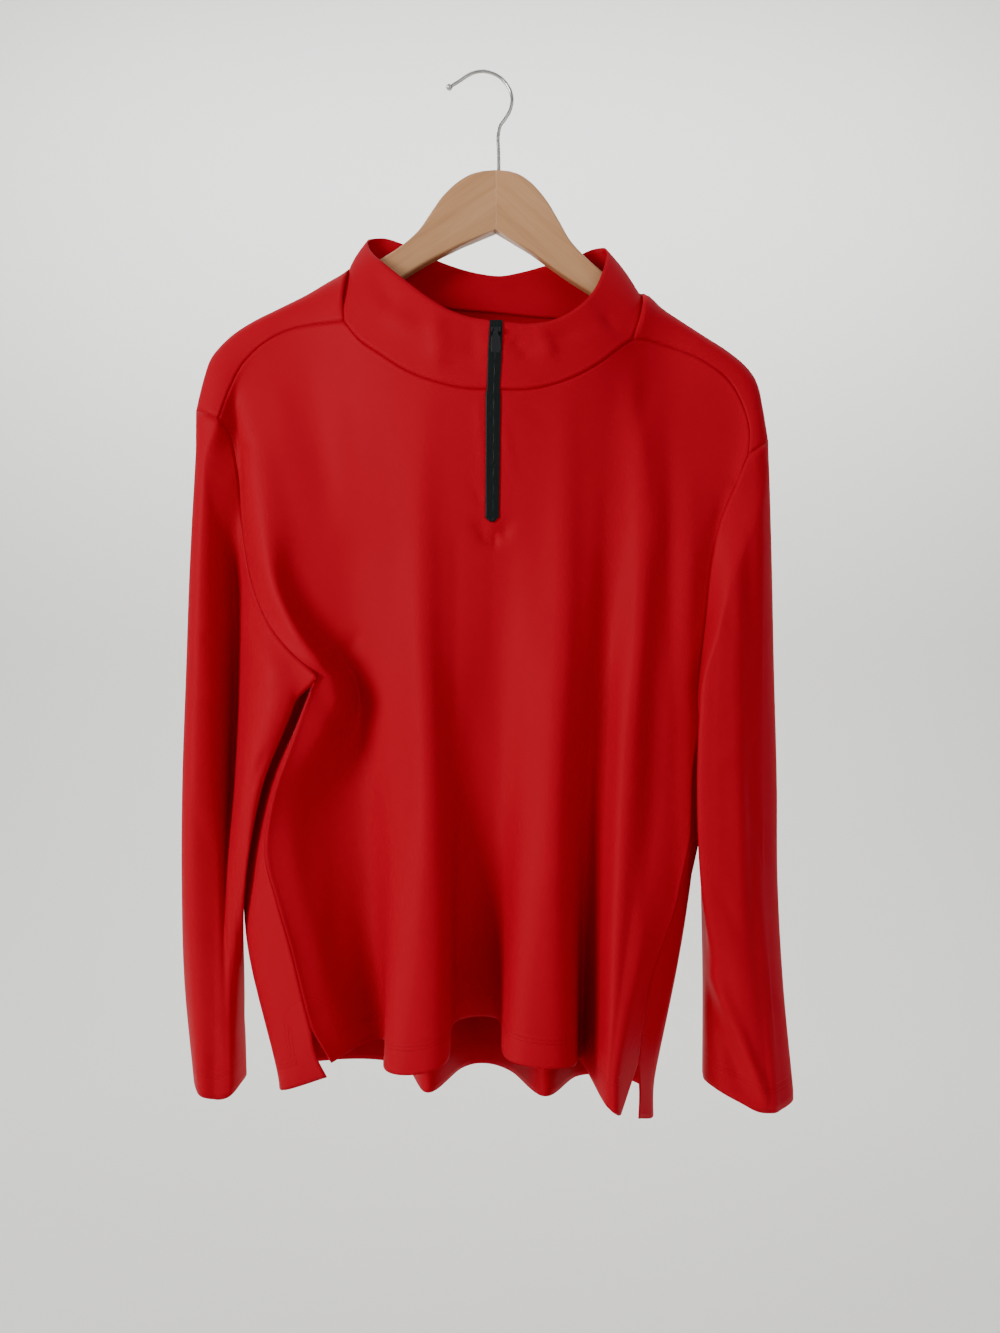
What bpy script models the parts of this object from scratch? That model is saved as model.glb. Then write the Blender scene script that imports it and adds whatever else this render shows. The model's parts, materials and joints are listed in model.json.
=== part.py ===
"""Quarter-zip pullover hung on a wooden hanger, at real size: metres, +Z up.

The origin is the point under the wire hook where a rail or nail carries the hanger.
+X is to the right of someone who looks at the front, and -Y is towards them.

Every panel of cloth is a sheet of points, worked out from fold lines that run down it:
a table gives where each fold line lies at a few heights, and the sheet is the smooth
surface through those lines. Its edges are then drawn onto the seams, which
neighbouring panels share, and the sheet gets the thickness of the cloth.
"""

import bpy
import numpy as np
from mathutils import Matrix

MM = 0.001

# Cloth
CLOTH = 1.2 * MM                 # thickness of the jersey wall
SEAM_GAP = 0.3 * MM              # between two panels at a seam
UNDERARM_EXTRA = 0.7 * MM        # added to the gap at the underarm, where four walls meet
UNDERARM_REACH = 32 * MM         # how far from the underarm that addition fades out
COLUMNS_PER_FOLD = 3             # columns of faces between two fold lines
ARM_ROWS = 12                    # rows of faces along an armhole
SIDE_ROWS = 9                    # rows along a side seam
VENT_ROWS = 2                    # rows along a side vent
FLAP_ROWS = 3                    # rows from the top of the shoulder to the shoulder seam
HANGER_ROWS = (0, 0.012, 0.04)   # rows that turn over the hanger, as shares of the armhole
COLLAR_ROWS = 4
SLEEVE_ROWS = 16

# Hanger and hook
WOOD_THICK = 11 * MM
WOOD_ROUND = 2.6 * MM
MITRE_X = 10.5 * MM
WIRE_RADIUS = 1.5 * MM
HOOK_BALL = 1.9                  # radius of the hook's ball end, in wire radii

# Zip
ZIP_X = 8.5 * MM                 # the strip's middle at the neckline
ZIP_WIDTH = 11 * MM
SLIDER = dict(width=8.0 * MM, back=2.0 * MM, lug=3.0 * MM, lug_width=1.5 * MM, high=5.0 * MM)
PULL = dict(neck=4.2 * MM, wide=7.6 * MM, high=19.0 * MM, thick=1.4 * MM, start=4.2 * MM,
            above=0.8 * MM)
SLIDER_BELOW_TOP = 9.0 * MM      # the slider's middle, below the collar's top edge

# Colours (linear), roughness, metallic
RED = (0.42, 0.006, 0.010, 1)
BLACK = (0.006, 0.007, 0.008, 1)
WOOD = (0.48, 0.29, 0.15, 1)
STEEL = (0.55, 0.54, 0.52, 1)

# Seams, as points in millimetres (x, y, z). "Left" is the left of the picture.
RIDGE = dict(                    # top of the shoulder, from the neck outwards
    left=[(-112, 0, -169), (-123, 0, -177), (-134, 0, -183), (-151, 0, -193),
          (-177, 0, -206), (-203, 0, -219), (-217, 0, -228), (-229, 0, -239),
          (-238, 0, -251), (-243, 0, -266), (-247, 0, -282), (-250, 0, -297)],
    right=[(134, 0, -192), (145, 0, -197), (151, 0, -203), (174, 0, -219),
           (194, 0, -232), (214, 0, -245), (227, 0, -256), (235, 0, -266),
           (239, 0, -276), (242, 0, -292), (245, 0, -310), (247, 0, -323)])
SHOULDER = dict(                 # forward shoulder seam, from the neck outwards
    left=[(-117, -30, -227), (-142, -20, -226), (-166, -15, -229), (-191, -14, -242),
          (-207, -15, -259), (-217, -19, -281), (-225, -24, -307)],
    right=[(125, -30, -242), (142, -21, -241), (159, -16, -244), (186, -15, -254),
           (211, -15, -273), (222, -17, -294), (227, -20, -316), (225, -24, -338)])
NECK_FRONT = [(-117, -30, -227), (-105, -36, -243), (-87, -42, -257), (-60, -49, -275),
              (-38, -53, -284), (-13, -55, -290), (8, -56, -291), (43, -55, -290),
              (67, -52, -283), (95, -45, -267), (115, -36, -250), (125, -30, -242)]
NECK_BACK = [(-112, 0, -169), (-110.5, 5, -170), (-107, 9, -172), (-97, 13, -176),
             (-75, 17, -186), (-39, 18, -198), (9, 18, -203), (58, 18, -208), (103, 17, -209),
             (122, 13, -204), (129.5, 9, -198), (132.5, 5, -193), (134, 0, -192)]
NECK_SIDE = dict(                # neckline from the shoulder seam up to the shoulder's top
    left=[(-117, -30, -227), (-120, -22, -203), (-118, -10, -182), (-112, 0, -169)],
    right=[(125, -30, -242), (133, -22, -221), (137, -10, -203), (134, 0, -192)])
COLLAR_TOP_FRONT = [(-94, -16, -165), (-86, -24, -174), (-64, -38, -196), (-47, -45, -211),
                    (-28, -50, -224), (-9, -52, -231), (11, -53, -234), (38, -51, -236),
                    (51, -49, -234), (67, -45, -227), (83, -38, -214), (92, -30, -202),
                    (100, -20, -185)]
COLLAR_TOP_BACK = [(-99, 8, -141.5), (-90, 14, -138.5), (-71, 17, -143), (-38, 19, -158),
                   (-4, 19, -168), (14, 19, -170), (32, 19, -167), (52, 18, -162),
                   (87, 15, -152), (95, 12, -149.5), (102, 8, -149.5)]
ARM_FRONT = dict(
    left=[(-225, -24, -307), (-219, -14, -318), (-213, -8, -348), (-210, -6, -391),
          (-202, -14, -435), (-184, -36, -475), (-157, -61, -505), (-132, -72, -525)],
    right=[(225, -24, -338), (213, -28, -365), (200, -30, -395), (192, -31, -433),
           (187, -33, -479), (182, -35, -521), (178, -36, -556)])
ARM_BACK = dict(
    left=[(-250, 0, -297), (-241, 12, -305), (-226, 16, -330), (-209, 18, -383),
          (-190, 12, -442), (-180, 2, -475), (-168, -20, -500), (-152, -46, -517),
          (-132, -72, -525)],
    right=[(247, 0, -323), (242, 12, -331), (232, 16, -361), (217, 18, -410),
           (202, 12, -468), (191, -6, -520), (178, -36, -556)])
SIDE = dict(                     # side seam, underarm to the top of the vent
    left=[(-132, -72, -525), (-142, -72, -547), (-155, -69, -583), (-167, -66, -614),
          (-174, -62, -640), (-178, -58, -670), (-169, -56, -709), (-157, -56, -750),
          (-147, -56, -791), (-141, -56, -814)],
    right=[(178, -36, -556), (172, -40, -596), (168, -45, -670), (161, -50, -710),
           (149, -55, -742), (138, -58, -770), (132, -60, -800), (126, -62, -840)])
UNDERARM_OUT = dict(left=(0.2, -0.54, -0.82), right=(-0.09, -0.24, -0.97))
VENT_FRONT = dict(left=[(-141, -56, -814), (-124, -55, -843)],
                  right=[(126, -62, -840), (109, -88, -871)])
VENT_BACK = dict(left=[(-141, -56, -814), (-138, -53, -836), (-129, -49, -857)],
                 right=[(126, -62, -840), (128, -58, -866), (128, -52, -890)])

# Fold lines of the front, left to right: (x, y) at each height, and the hem's z.
FRONT_HEIGHTS = (-400, -460, -500, -525, -620, -835)
FRONT = [
    # fold line       chest        armhole      under it     side         waist        hem          hem z
    ("side_left",    (-208, -7),  (-191, -29), (-161, -58), (-132, -72), (-169, -66), (-124, -55), -843),
    ("arm_ridge",    (-186, -42), (-169, -53), (-143, -64), (-119, -66), (-152, -54), (-114, -40), -841),
    ("arm_valley",   (-155, -36), (-154, -34), (-132, -38), (-110, -38), (-128, -36), (-102, -24), -839),
    ("valley_a",     (-116, -37), (-114, -35), (-110, -35), (-104, -35), (-100, -35), (-84, -18),  -838),
    ("ridge1_left",  (-80, -44),  (-77, -45),  (-75, -47),  (-74, -49),  (-72, -52),  (-77, -84),  -837),
    ("ridge1",       (-54, -50),  (-53, -54),  (-52, -57),  (-50, -60),  (-47, -67),  (-52, -97),  -836),
    ("ridge1_right", (-32, -47),  (-31, -49),  (-31, -50),  (-30, -52),  (-28, -58),  (-28, -84),  -831),
    ("zip_left",     (2, -46.5),  (-1, -45.5), (-3, -45),   (-6, -45),   (-14, -45),  (-25, -20),  -821),
    ("zip_right",    (13, -46.5), (13, -45.5), (13, -44.5), (13, -44),   (12, -43),   (12, -15),   -820),
    ("ridge2_left",  (42, -49),   (40, -51),   (38, -53),   (37, -54),   (34, -58),   (17, -84),   -827),
    ("ridge2",       (66, -52),   (64, -55),   (62, -58),   (60, -61),   (56, -68),   (45, -97),   -831),
    ("ridge2_right", (88, -47),   (85, -49),   (82, -50),   (79, -52),   (72, -58),   (71, -84),   -835),
    ("valley_c",     (112, -42),  (107, -40),  (103, -39),  (99, -38),   (90, -38),   (82, -30),   -850),
    ("ridge3",       (137, -47),  (130, -50),  (126, -52),  (122, -55),  (113, -62),  (95, -86),   -860),
    ("flank_c",      (156, -40),  (151, -41),  (147, -42),  (143, -44),  (135, -50),  (101, -95),  -865),
    ("ridge4",       (176, -38),  (170, -40),  (166, -40),  (161, -42),  (151, -46),  (106, -94),  -869),
    ("side_right",   (198, -31),  (189, -33),  (184, -34),  (180, -35),  (171, -42),  (109, -88),  -871),
]
FRONT_NECK = (3, 13)             # the fold lines where the shoulder seams meet the neck
FRONT_ZIP = (7, 8)               # the fold lines on either side of the zip
ZIP_ROWS = 5                     # rows of the front that the zip runs down

# Fold lines of the back, from the left side seam round the back to the right one.
BACK_HEIGHTS = (-400, -480, -525, -620, -740, -870)
BACK = [
    # fold line     chest        armhole      underarm     waist        hips         hem          hem z
    ("side_left",  (-203, 17), (-178, -1),  (-132, -72), (-169, -66), (-158, -56), (-129, -49), -857),
    ("left",       (-190, 20), (-168, 12),  (-140, -46), (-182, -43), (-193, -38), (-169, -38), -872),
    ("left_back",  (-165, 24), (-155, 22),  (-156, -10), (-193, -12), (-199, -9),  (-164, 4),   -868),
    ("neck_left",  (-128, 26), (-128, 26),  (-128, 22),  (-138, 24),  (-130, 24),  (-112, 20),  -868),
    ("lobe1_left", (-90, 24),  (-90, 23),   (-92, 22),   (-95, 21),   (-84, 18),   (-70, 6),    -869),
    ("lobe1",      (-50, 21),  (-50, 18),   (-49, 14),   (-48, 6),    (-47, -16),  (-46, -44),  -872),
    ("lobe1_right", (-15, 24), (-14, 24),   (-13, 24),   (-12, 23),   (-16, 18),   (-20, 6),    -871),
    ("centre",     (15, 26),   (13, 27),    (12, 28),    (10, 28),    (6, 26),     (1, 20),     -872),
    ("lobe2_left", (50, 24),   (46, 23),    (41, 21),    (35, 19),    (28, 14),    (24, 4),     -873),
    ("lobe2",      (85, 21),   (77, 17),    (70, 13),    (61, 6),     (55, -16),   (51, -44),   -875),
    ("lobe2_right", (118, 24), (110, 24),   (102, 23),   (92, 21),    (86, 14),    (80, 0),     -876),
    ("neck_right", (148, 26),  (143, 26),   (136, 25),   (126, 25),   (115, 20),   (106, 8),    -878),
    ("right_back", (182, 25),  (174, 24),   (166, 18),   (166, 13),   (154, 10),   (138, 6),    -886),
    ("right",      (205, 21),  (190, 16),   (176, 0),    (182, -17),  (171, -21),  (143, -31),  -896),
    ("side_right", (213, 17),  (200, 8),    (182, -26),  (171, -42),  (150, -55),  (128, -52),  -890),
]
BACK_NECK = (3, 11)              # the fold lines where the shoulders' tops meet the neck

# Fold lines of a sleeve, from the shoulder seam down the front of the armhole, under the
# arm and up its back: (x, y) at each height, and the cuff's z.
SLEEVE_HEIGHTS = (-330, -430, -520, -620, -700, -790, -880)
SLEEVE = dict(
    left=[
        ("strip",      (-240, -17), (-244, -19), (-246, -22), (-248, -26), (-248, -31), (-244, -35),
         (-238, -37), -876),
        ("lip",        (-231, -14), (-231, -13), (-230, -16), (-228, -19), (-226, -27), (-224, -36),
         (-224, -38), -880),
        ("cleft",      (-221, -8),  (-220, 6),   (-219, 8),   (-221, 3),   (-220, -20), (-217, -35),
         (-215, -38), -879),
        ("cleft_wall", (-213, -8),  (-208, -6),  (-208, -10), (-213, -14), (-215, -30), (-212, -34),
         (-210, -35), -876),
        ("bulge",      (-200, -20), (-190, -36), (-176, -62), (-193, -60), (-205, -42), (-208, -27),
         (-207, -23), -873),
        ("inner",      (-190, -10), (-165, -36), (-147, -62), (-181, -60), (-198, -44), (-207, -10),
         (-206, -6), -872),
        ("inner_wall", (-195, 4),   (-180, -9),  (-169, -26), (-200, -36), (-212, -22), (-213, 5),
         (-211, 8), -872),
        ("inner_back", (-205, 16),  (-201, 18),  (-197, 18),  (-211, 14),  (-218, 16),  (-218, 20),
         (-217, 21), -872),
        ("outer_back", (-236, 12),  (-238, 17),  (-240, 20),  (-243, 20),  (-245, 22),  (-243, 26),
         (-236, 27), -872),
        ("outer",      (-250, -2),  (-255, -2),  (-258, -2),  (-261, -3),  (-261, -4),  (-260, 0),
         (-252, 4), -872),
    ],
    right=[
        ("strip",      (238, -22),  (236, -30),  (234, -34),  (234, -36),  (234, -38),  (240, -38),
         (246, -42), -888),
        ("lip",        (228, -26),  (220, -40),  (216, -46),  (216, -48),  (220, -48),  (228, -46),
         (236, -46), -888),
        ("front_ridge", (217, -28), (206, -44),  (203, -53),  (204, -55),  (209, -54),  (218, -50),
         (226, -47), -886),
        ("front_turn", (209, -28),  (197, -46),  (192, -55),  (189, -58),  (193, -57),  (208, -50),
         (214, -46), -880),
        ("front_edge", (203, -28),  (190, -43),  (181, -52),  (176, -55),  (180, -53),  (196, -44),
         (198, -42), -872),
        ("inner",      (200, -24),  (189, -33),  (184, -35),  (185, -36),  (186, -34),  (189, -30),
         (188, -30), -868),
        ("inner_wall", (202, -5),   (195, -8),   (190, -10),  (188, -12),  (188, -14),  (190, -11),
         (189, -12), -870),
        ("inner_back", (207, 14),   (204, 16),   (199, 14),   (195, 10),   (194, 6),    (196, 8),
         (196, 6), -872),
        ("outer_back", (228, 14),   (230, 18),   (229, 20),   (228, 20),   (228, 20),   (230, 20),
         (232, 16), -884),
        ("outer",      (246, -4),   (249, -4),   (251, -4),   (253, -6),   (253, -8),   (257, -10),
         (264, -16), -886),
    ])
SLEEVE_UNDERARM = 5              # the fold line that starts at the underarm
SLEEVE_TOP = 9                   # the fold line that starts at the top of the shoulder

# Wooden arms, millimetres (x, z) round the outline from the mitre's top
ARM_OUTLINE = dict(
    left=[(-1, -87), (-12, -90), (-20, -94.5), (-36, -109), (-47, -124.5), (-56, -137.5),
          (-68, -149), (-88, -162.5), (-112, -175), (-134, -188), (-151, -197.5),
          (-177, -210.5), (-203, -223.5), (-214, -231), (-219, -238), (-214, -244),
          (-202, -243.5), (-176, -232), (-150, -220), (-111, -203), (-72, -180.5),
          (-47, -165.5), (-20, -152)],
    right=[(22, -87), (31, -90), (38, -94.5), (52, -109), (65.5, -130.5), (75, -147),
           (85, -158.5), (103, -174.5), (134, -197), (151, -208.5), (174, -223.5),
           (194, -236.5), (214, -249.5), (227, -261), (233, -269), (232, -276), (225, -277),
           (213, -268), (193, -255), (173, -243), (135, -219.5), (95.5, -195), (75, -182),
           (40, -157)])
WOOD_TOP, WOOD_BOTTOM = -87, -138.5
HOOK_CENTRE = [(13, -86.7), (12.8, -70), (12.7, -52.5), (14, -46.5), (18.4, -40), (22.5, -33),
               (24.4, -25), (23.6, -17), (20, -10), (13.7, -3.4), (7, 0), (0, 1.5),
               (-7, 0.9), (-14, -2), (-20, -6), (-25, -9.2), (-28, -11)]


def clear_scene():
    """Remove every object, so that the script also runs in an open file."""
    for thing in list(bpy.data.objects):
        bpy.data.objects.remove(thing, do_unlink=True)


def material(name, colour, roughness, metallic=0.0):
    """One Principled material."""
    made = bpy.data.materials.new(name)
    made.use_nodes = True
    shader = made.node_tree.nodes["Principled BSDF"]
    shader.inputs["Base Color"].default_value = colour
    shader.inputs["Roughness"].default_value = roughness
    shader.inputs["Metallic"].default_value = metallic
    return made


def weights(knots, at):
    """How much each knot counts at each place of `at`, on the smooth curve through them.

    The curve is made of cubic pieces, and its slope at a knot is that of its neighbours.
    """
    knots = np.asarray(knots, float)
    pick = np.eye(len(knots))
    slope = np.gradient(pick, knots, axis=0)
    at = np.clip(np.asarray(at, float), knots[0], knots[-1])
    i = np.clip(np.searchsorted(knots, at, side="right") - 1, 0, len(knots) - 2)
    step = (knots[i + 1] - knots[i])[..., None]
    t = (at - knots[i])[..., None] / step
    return ((1 + 2 * t) * (1 - t) ** 2 * pick[i] + t * (1 - t) ** 2 * step * slope[i]
            + t * t * (3 - 2 * t) * pick[i + 1] + t * t * (t - 1) * step * slope[i + 1])


def along(points, fractions):
    """Places at fractions of the length of the smooth curve through points (in mm)."""
    points = np.array(points, float) * MM
    legs = np.linalg.norm(np.diff(points, axis=0), axis=1)
    reach = np.concatenate([[0], np.cumsum(legs)])
    return weights(reach / reach[-1], fractions) @ points


def join(*curves):
    """Curves end to end, each starting where the one before it stops."""
    return np.concatenate([curves[0]] + [curve[1:] for curve in curves[1:]])


def fold_table(rows, heights):
    """The table's (x, y) as an array [fold line, height, 2], lowest height first, and hem z."""
    places = np.array([row[1:1 + len(heights)] for row in rows], float) * MM
    return places[:, ::-1], np.array([row[-1] for row in rows], float) * MM


def on_folds(places, heights, line, z):
    """(x, y, z) of the sheet at fold-line number `line` and height `z`.

    Smooth curves run through the fold lines at each height, then through the heights.
    """
    across = np.tensordot(weights(np.arange(len(places)), line), places, axes=(-1, 0))
    down = weights(np.array(heights[::-1], float) * MM, z)
    xy = np.einsum("...h,...hk->...k", down, across)
    return np.concatenate([xy, z[..., None]], axis=-1)


def fade(t, reach):
    """From 1 at t = 0 to 0 at t = reach, level at both ends."""
    t = np.clip(t / reach, 0, 1)
    return 1 - t * t * (3 - 2 * t)


def round_over(t, reach):
    """From 1 at t = 0 to 0 at t = reach along a quarter circle that drops at once."""
    t = np.clip(t / reach, 0, 1)
    return 1 - np.sqrt(1 - (1 - t) ** 2)


def panel(rows, heights, top, left, right, top_fade):
    """A body panel, as points [row, column, 3].

    Heights are blended between the four edges, level from the underarm down; each place
    is then read from the fold lines, and what the top and the sides differ by from them
    fades out into the panel.
    """
    places, hem_z = fold_table(rows, heights)
    columns = np.linspace(0, len(rows) - 1, len(top))
    across = columns / columns[-1]
    down = ((left[:, 2] - left[0, 2]) / (left[-1, 2] - left[0, 2])
            + (right[:, 2] - right[0, 2]) / (right[-1, 2] - right[0, 2])) / 2
    hem = weights(np.arange(len(rows)), columns) @ hem_z
    v, s = down[:, None], across[None, :]
    level = top[0, 2] + (top[-1, 2] - top[0, 2]) * s
    z = (1 - v) * level + v * hem[None, :] + (top[None, :, 2] - level) * fade(v, 0.42)
    z = z + (1 - s) * (left[:, 2:3] - z[:, :1]) + s * (right[:, 2:3] - z[:, -1:])
    line = np.broadcast_to(columns[None, :], z.shape)
    sheet = on_folds(places, heights, line, z)
    sheet = sheet + (top[None] - sheet[:1]) * top_fade(v)
    sheet = sheet + (left[:, None] - sheet[:, :1]) * fade(line, 1.0)[..., None]
    sheet = sheet + (right[:, None] - sheet[:, -1:]) * fade(columns[-1] - line, 1.0)[..., None]
    return sheet


def front_fade(v):
    """How the front leaves its top edge: evenly, over the upper chest."""
    return fade(v, 0.24)[..., None]


def back_fade(v):
    """How the back leaves the shoulders' top: at once to the back of the hanger."""
    return np.stack([fade(v, 0.3), round_over(v, 0.10), fade(v, 0.3)], axis=-1)


def shoulder_flap(ridge, seam):
    """From the shoulder's top forward to the seam: quarter ellipses over the hanger."""
    turn = np.linspace(0, np.pi / 2, FLAP_ROWS + 1)[:, None]
    flap = np.empty((FLAP_ROWS + 1, len(ridge), 3))
    flap[..., 0] = ridge[:, 0] + (seam[:, 0] - ridge[:, 0]) * (1 - np.cos(turn))
    flap[..., 1] = ridge[:, 1] + (seam[:, 1] - ridge[:, 1]) * np.sin(turn)
    flap[..., 2] = ridge[:, 2] + (seam[:, 2] - ridge[:, 2]) * (1 - np.cos(turn))
    return flap


def sleeve(rows, armhole, lines):
    """A sleeve, as points [row, column, 3], from the armhole's ring down to the cuff."""
    places, cuff_z = fold_table(rows, SLEEVE_HEIGHTS)
    count = len(rows)
    around = np.concatenate([places[-2:], places, places[:3]])
    cuff = weights(np.arange(-2, count + 3), lines) @ np.concatenate([cuff_z[-2:], cuff_z, cuff_z[:3]])
    v = np.linspace(0, 1, SLEEVE_ROWS + 1)[:, None]
    z = (1 - v) * armhole[None, :, 2] + v * cuff[None, :]
    line = np.broadcast_to(lines[None, :], z.shape)
    sheet = on_folds(around, SLEEVE_HEIGHTS, line + 2, z)
    return sheet + (armhole[None] - sheet[:1]) * fade(v, 0.065)[..., None]


def quads(sheet, keep=None, flip=False):
    """The sheet's four-sided faces as corner points [face, 4, 3]."""
    corners = np.stack([sheet[:-1, :-1], sheet[1:, :-1], sheet[1:, 1:], sheet[:-1, 1:]], axis=2)
    corners = corners if keep is None else corners[keep]
    corners = corners.reshape(-1, 4, 3)
    return corners[:, ::-1] if flip else corners


def neck_places():
    """Fractions of the front neckline at the columns, the zip's edges among them."""
    fine = np.linspace(0, 1, 500)
    run = along(NECK_FRONT, fine)[:, 0]
    edges = [0, *np.interp([ZIP_X - ZIP_WIDTH / 2, ZIP_X + ZIP_WIDTH / 2], run, fine), 1]
    numbers = np.array([FRONT_NECK[0], *FRONT_ZIP, FRONT_NECK[1]]) - FRONT_NECK[0]
    columns = np.arange(COLUMNS_PER_FOLD * numbers[-1] + 1)
    return np.interp(columns, numbers * COLUMNS_PER_FOLD, edges)


def garment_sheets():
    """Every cloth piece's faces, cut from sheets that share their points at the seams."""
    fold = COLUMNS_PER_FOLD
    even = np.linspace(0, 1, ARM_ROWS + 1)
    graded = np.concatenate([HANGER_ROWS, np.linspace(0.09, 1, ARM_ROWS - len(HANGER_ROWS) + 1)])
    shoulder_columns = np.linspace(0, 1, fold * FRONT_NECK[0] + 1)
    edges = {}
    for side in ("left", "right"):
        seam = along(SIDE[side], np.linspace(0, 1, SIDE_ROWS + 1))
        vent = np.linspace(0, 1, VENT_ROWS + 1)
        arm_front = along(ARM_FRONT[side], even)
        arm_back = along(ARM_BACK[side], graded)
        arm_back[-1] = arm_front[-1]
        ridge = along(RIDGE[side], shoulder_columns)
        shoulder = along(SHOULDER[side], shoulder_columns)
        flap = shoulder_flap(ridge, shoulder)
        flap[:, 0] = along(NECK_SIDE[side][::-1], np.linspace(0, 1, FLAP_ROWS + 1))
        edges[side] = dict(
            front=join(arm_front, seam, along(VENT_FRONT[side], vent)),
            back=join(arm_back, seam, along(VENT_BACK[side], vent)),
            ridge=ridge, shoulder=shoulder, flap=flap,
            armhole=join(arm_front, arm_back[::-1], flap[:, -1]))
    left, right = edges["left"], edges["right"]

    neck_front = along(NECK_FRONT, neck_places())
    back_columns = fold * (BACK_NECK[1] - BACK_NECK[0])
    neck_back = along(NECK_BACK, np.linspace(0, 1, back_columns + 1))
    front = panel(FRONT, FRONT_HEIGHTS, join(left["shoulder"][::-1], neck_front, right["shoulder"]),
                  left["front"], right["front"], front_fade)
    back = panel(BACK, BACK_HEIGHTS, join(left["ridge"][::-1], neck_back, right["ridge"]),
                 left["back"], right["back"], back_fade)

    zip_left, zip_right = (fold * number for number in FRONT_ZIP)
    slit = np.zeros((front.shape[0] - 1, front.shape[1] - 1), bool)
    slit[:ZIP_ROWS, zip_left:zip_right] = True

    neckline = join(neck_front[zip_right - fold * FRONT_NECK[0]:], right["flap"][::-1, 0],
                    neck_back[::-1], left["flap"][:, 0],
                    neck_front[:zip_right - fold * FRONT_NECK[0] + 1])
    collar = collar_band(neckline)
    tape = np.zeros((collar.shape[0] - 1, collar.shape[1] - 1), bool)
    tape[:, -fold:] = True

    lines = np.interp(np.arange(2 * ARM_ROWS + FLAP_ROWS + 1),
                      [0, ARM_ROWS, ARM_ROWS * 4 / 3, 2 * ARM_ROWS, 2 * ARM_ROWS + FLAP_ROWS],
                      [0, SLEEVE_UNDERARM, SLEEVE_UNDERARM + 2, SLEEVE_TOP, SLEEVE_TOP + 1])
    sleeves = {side: sleeve(SLEEVE[side], edges[side]["armhole"], lines) for side in edges}
    pieces = {
        "front_panel": [quads(front, ~slit)],
        "back_panel": [quads(back, flip=True), quads(left["flap"], flip=True), quads(right["flap"])],
        "sleeve_left": [quads(sleeves["left"])],
        "sleeve_right": [quads(sleeves["right"], flip=True)],
        "collar": [quads(collar, ~tape)],
        "zip_tape": [quads(collar, tape), quads(front, slit)],
    }
    zip_top = (collar[0, -fold - 1] + collar[0, -1]) / 2
    zip_foot = (collar[-1, -fold - 1] + collar[-1, -1]) / 2
    underarms = {side: edges[side]["armhole"][ARM_ROWS] for side in edges}
    joined = {name: np.concatenate(parts) for name, parts in pieces.items()}
    return joined, underarms, zip_top, zip_foot


def collar_band(neckline):
    """The standing collar, from its top edge down to the neckline, with a slight bow."""
    top_loop = np.array(COLLAR_TOP_FRONT[6:] + COLLAR_TOP_BACK[::-1] + COLLAR_TOP_FRONT[:7], float)
    loop = np.array(neckline)
    legs = np.linalg.norm(np.diff(loop, axis=0), axis=1)
    place = np.concatenate([[0], np.cumsum(legs)]) / legs.sum()
    # the zip's right edge is a little right of the loop's start, so turn the top with it
    top = along(top_loop, place)
    start = COLLAR_TOP_FRONT[6]
    half_zip = (neckline[0] - neckline[-1 - COLUMNS_PER_FOLD]) / 2
    for row in (0, -1):
        top[row] = np.array(start) * MM + half_zip
    top[-1 - COLUMNS_PER_FOLD] = np.array(start) * MM - half_zip
    top[-COLUMNS_PER_FOLD:-1] = np.linspace(top[-1 - COLUMNS_PER_FOLD], top[-1],
                                            COLUMNS_PER_FOLD + 1)[1:-1]
    t = np.linspace(0, 1, COLLAR_ROWS + 1)[:, None, None]
    return (1 - t) * top[None] + t * loop[None]


def seam_normals(pieces, underarms):
    """Outward direction at every point of every piece, shared by the pieces that meet there.

    At a seam it halves the angle between the pieces. At an underarm, where the body and
    the sleeve part, it is the direction stated in UNDERARM_OUT.
    """
    corners = {name: faces.reshape(-1, 3) for name, faces in pieces.items()}
    points = np.concatenate([list(underarms.values()), *corners.values()])
    key = np.round(points / 1e-6).astype(np.int64)
    _, owner = np.unique(key, axis=0, return_inverse=True)
    owner = owner.reshape(-1)
    total = np.zeros((owner.max() + 1, 3))
    owners, start = {}, len(underarms)
    for name, faces in pieces.items():
        owners[name] = owner[start:start + len(corners[name])]
        start += len(corners[name])
        facing = np.cross(faces[:, 2] - faces[:, 0], faces[:, 3] - faces[:, 1])
        own = np.zeros_like(total)
        np.add.at(own, owners[name], np.repeat(facing, 4, axis=0))
        total += own / np.maximum(np.linalg.norm(own, axis=1, keepdims=True), 1e-12)
    total /= np.linalg.norm(total, axis=1, keepdims=True)
    total[owner[:len(underarms)]] = [UNDERARM_OUT[side] for side in underarms]
    return {name: total[owners[name]] for name in pieces}


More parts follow.
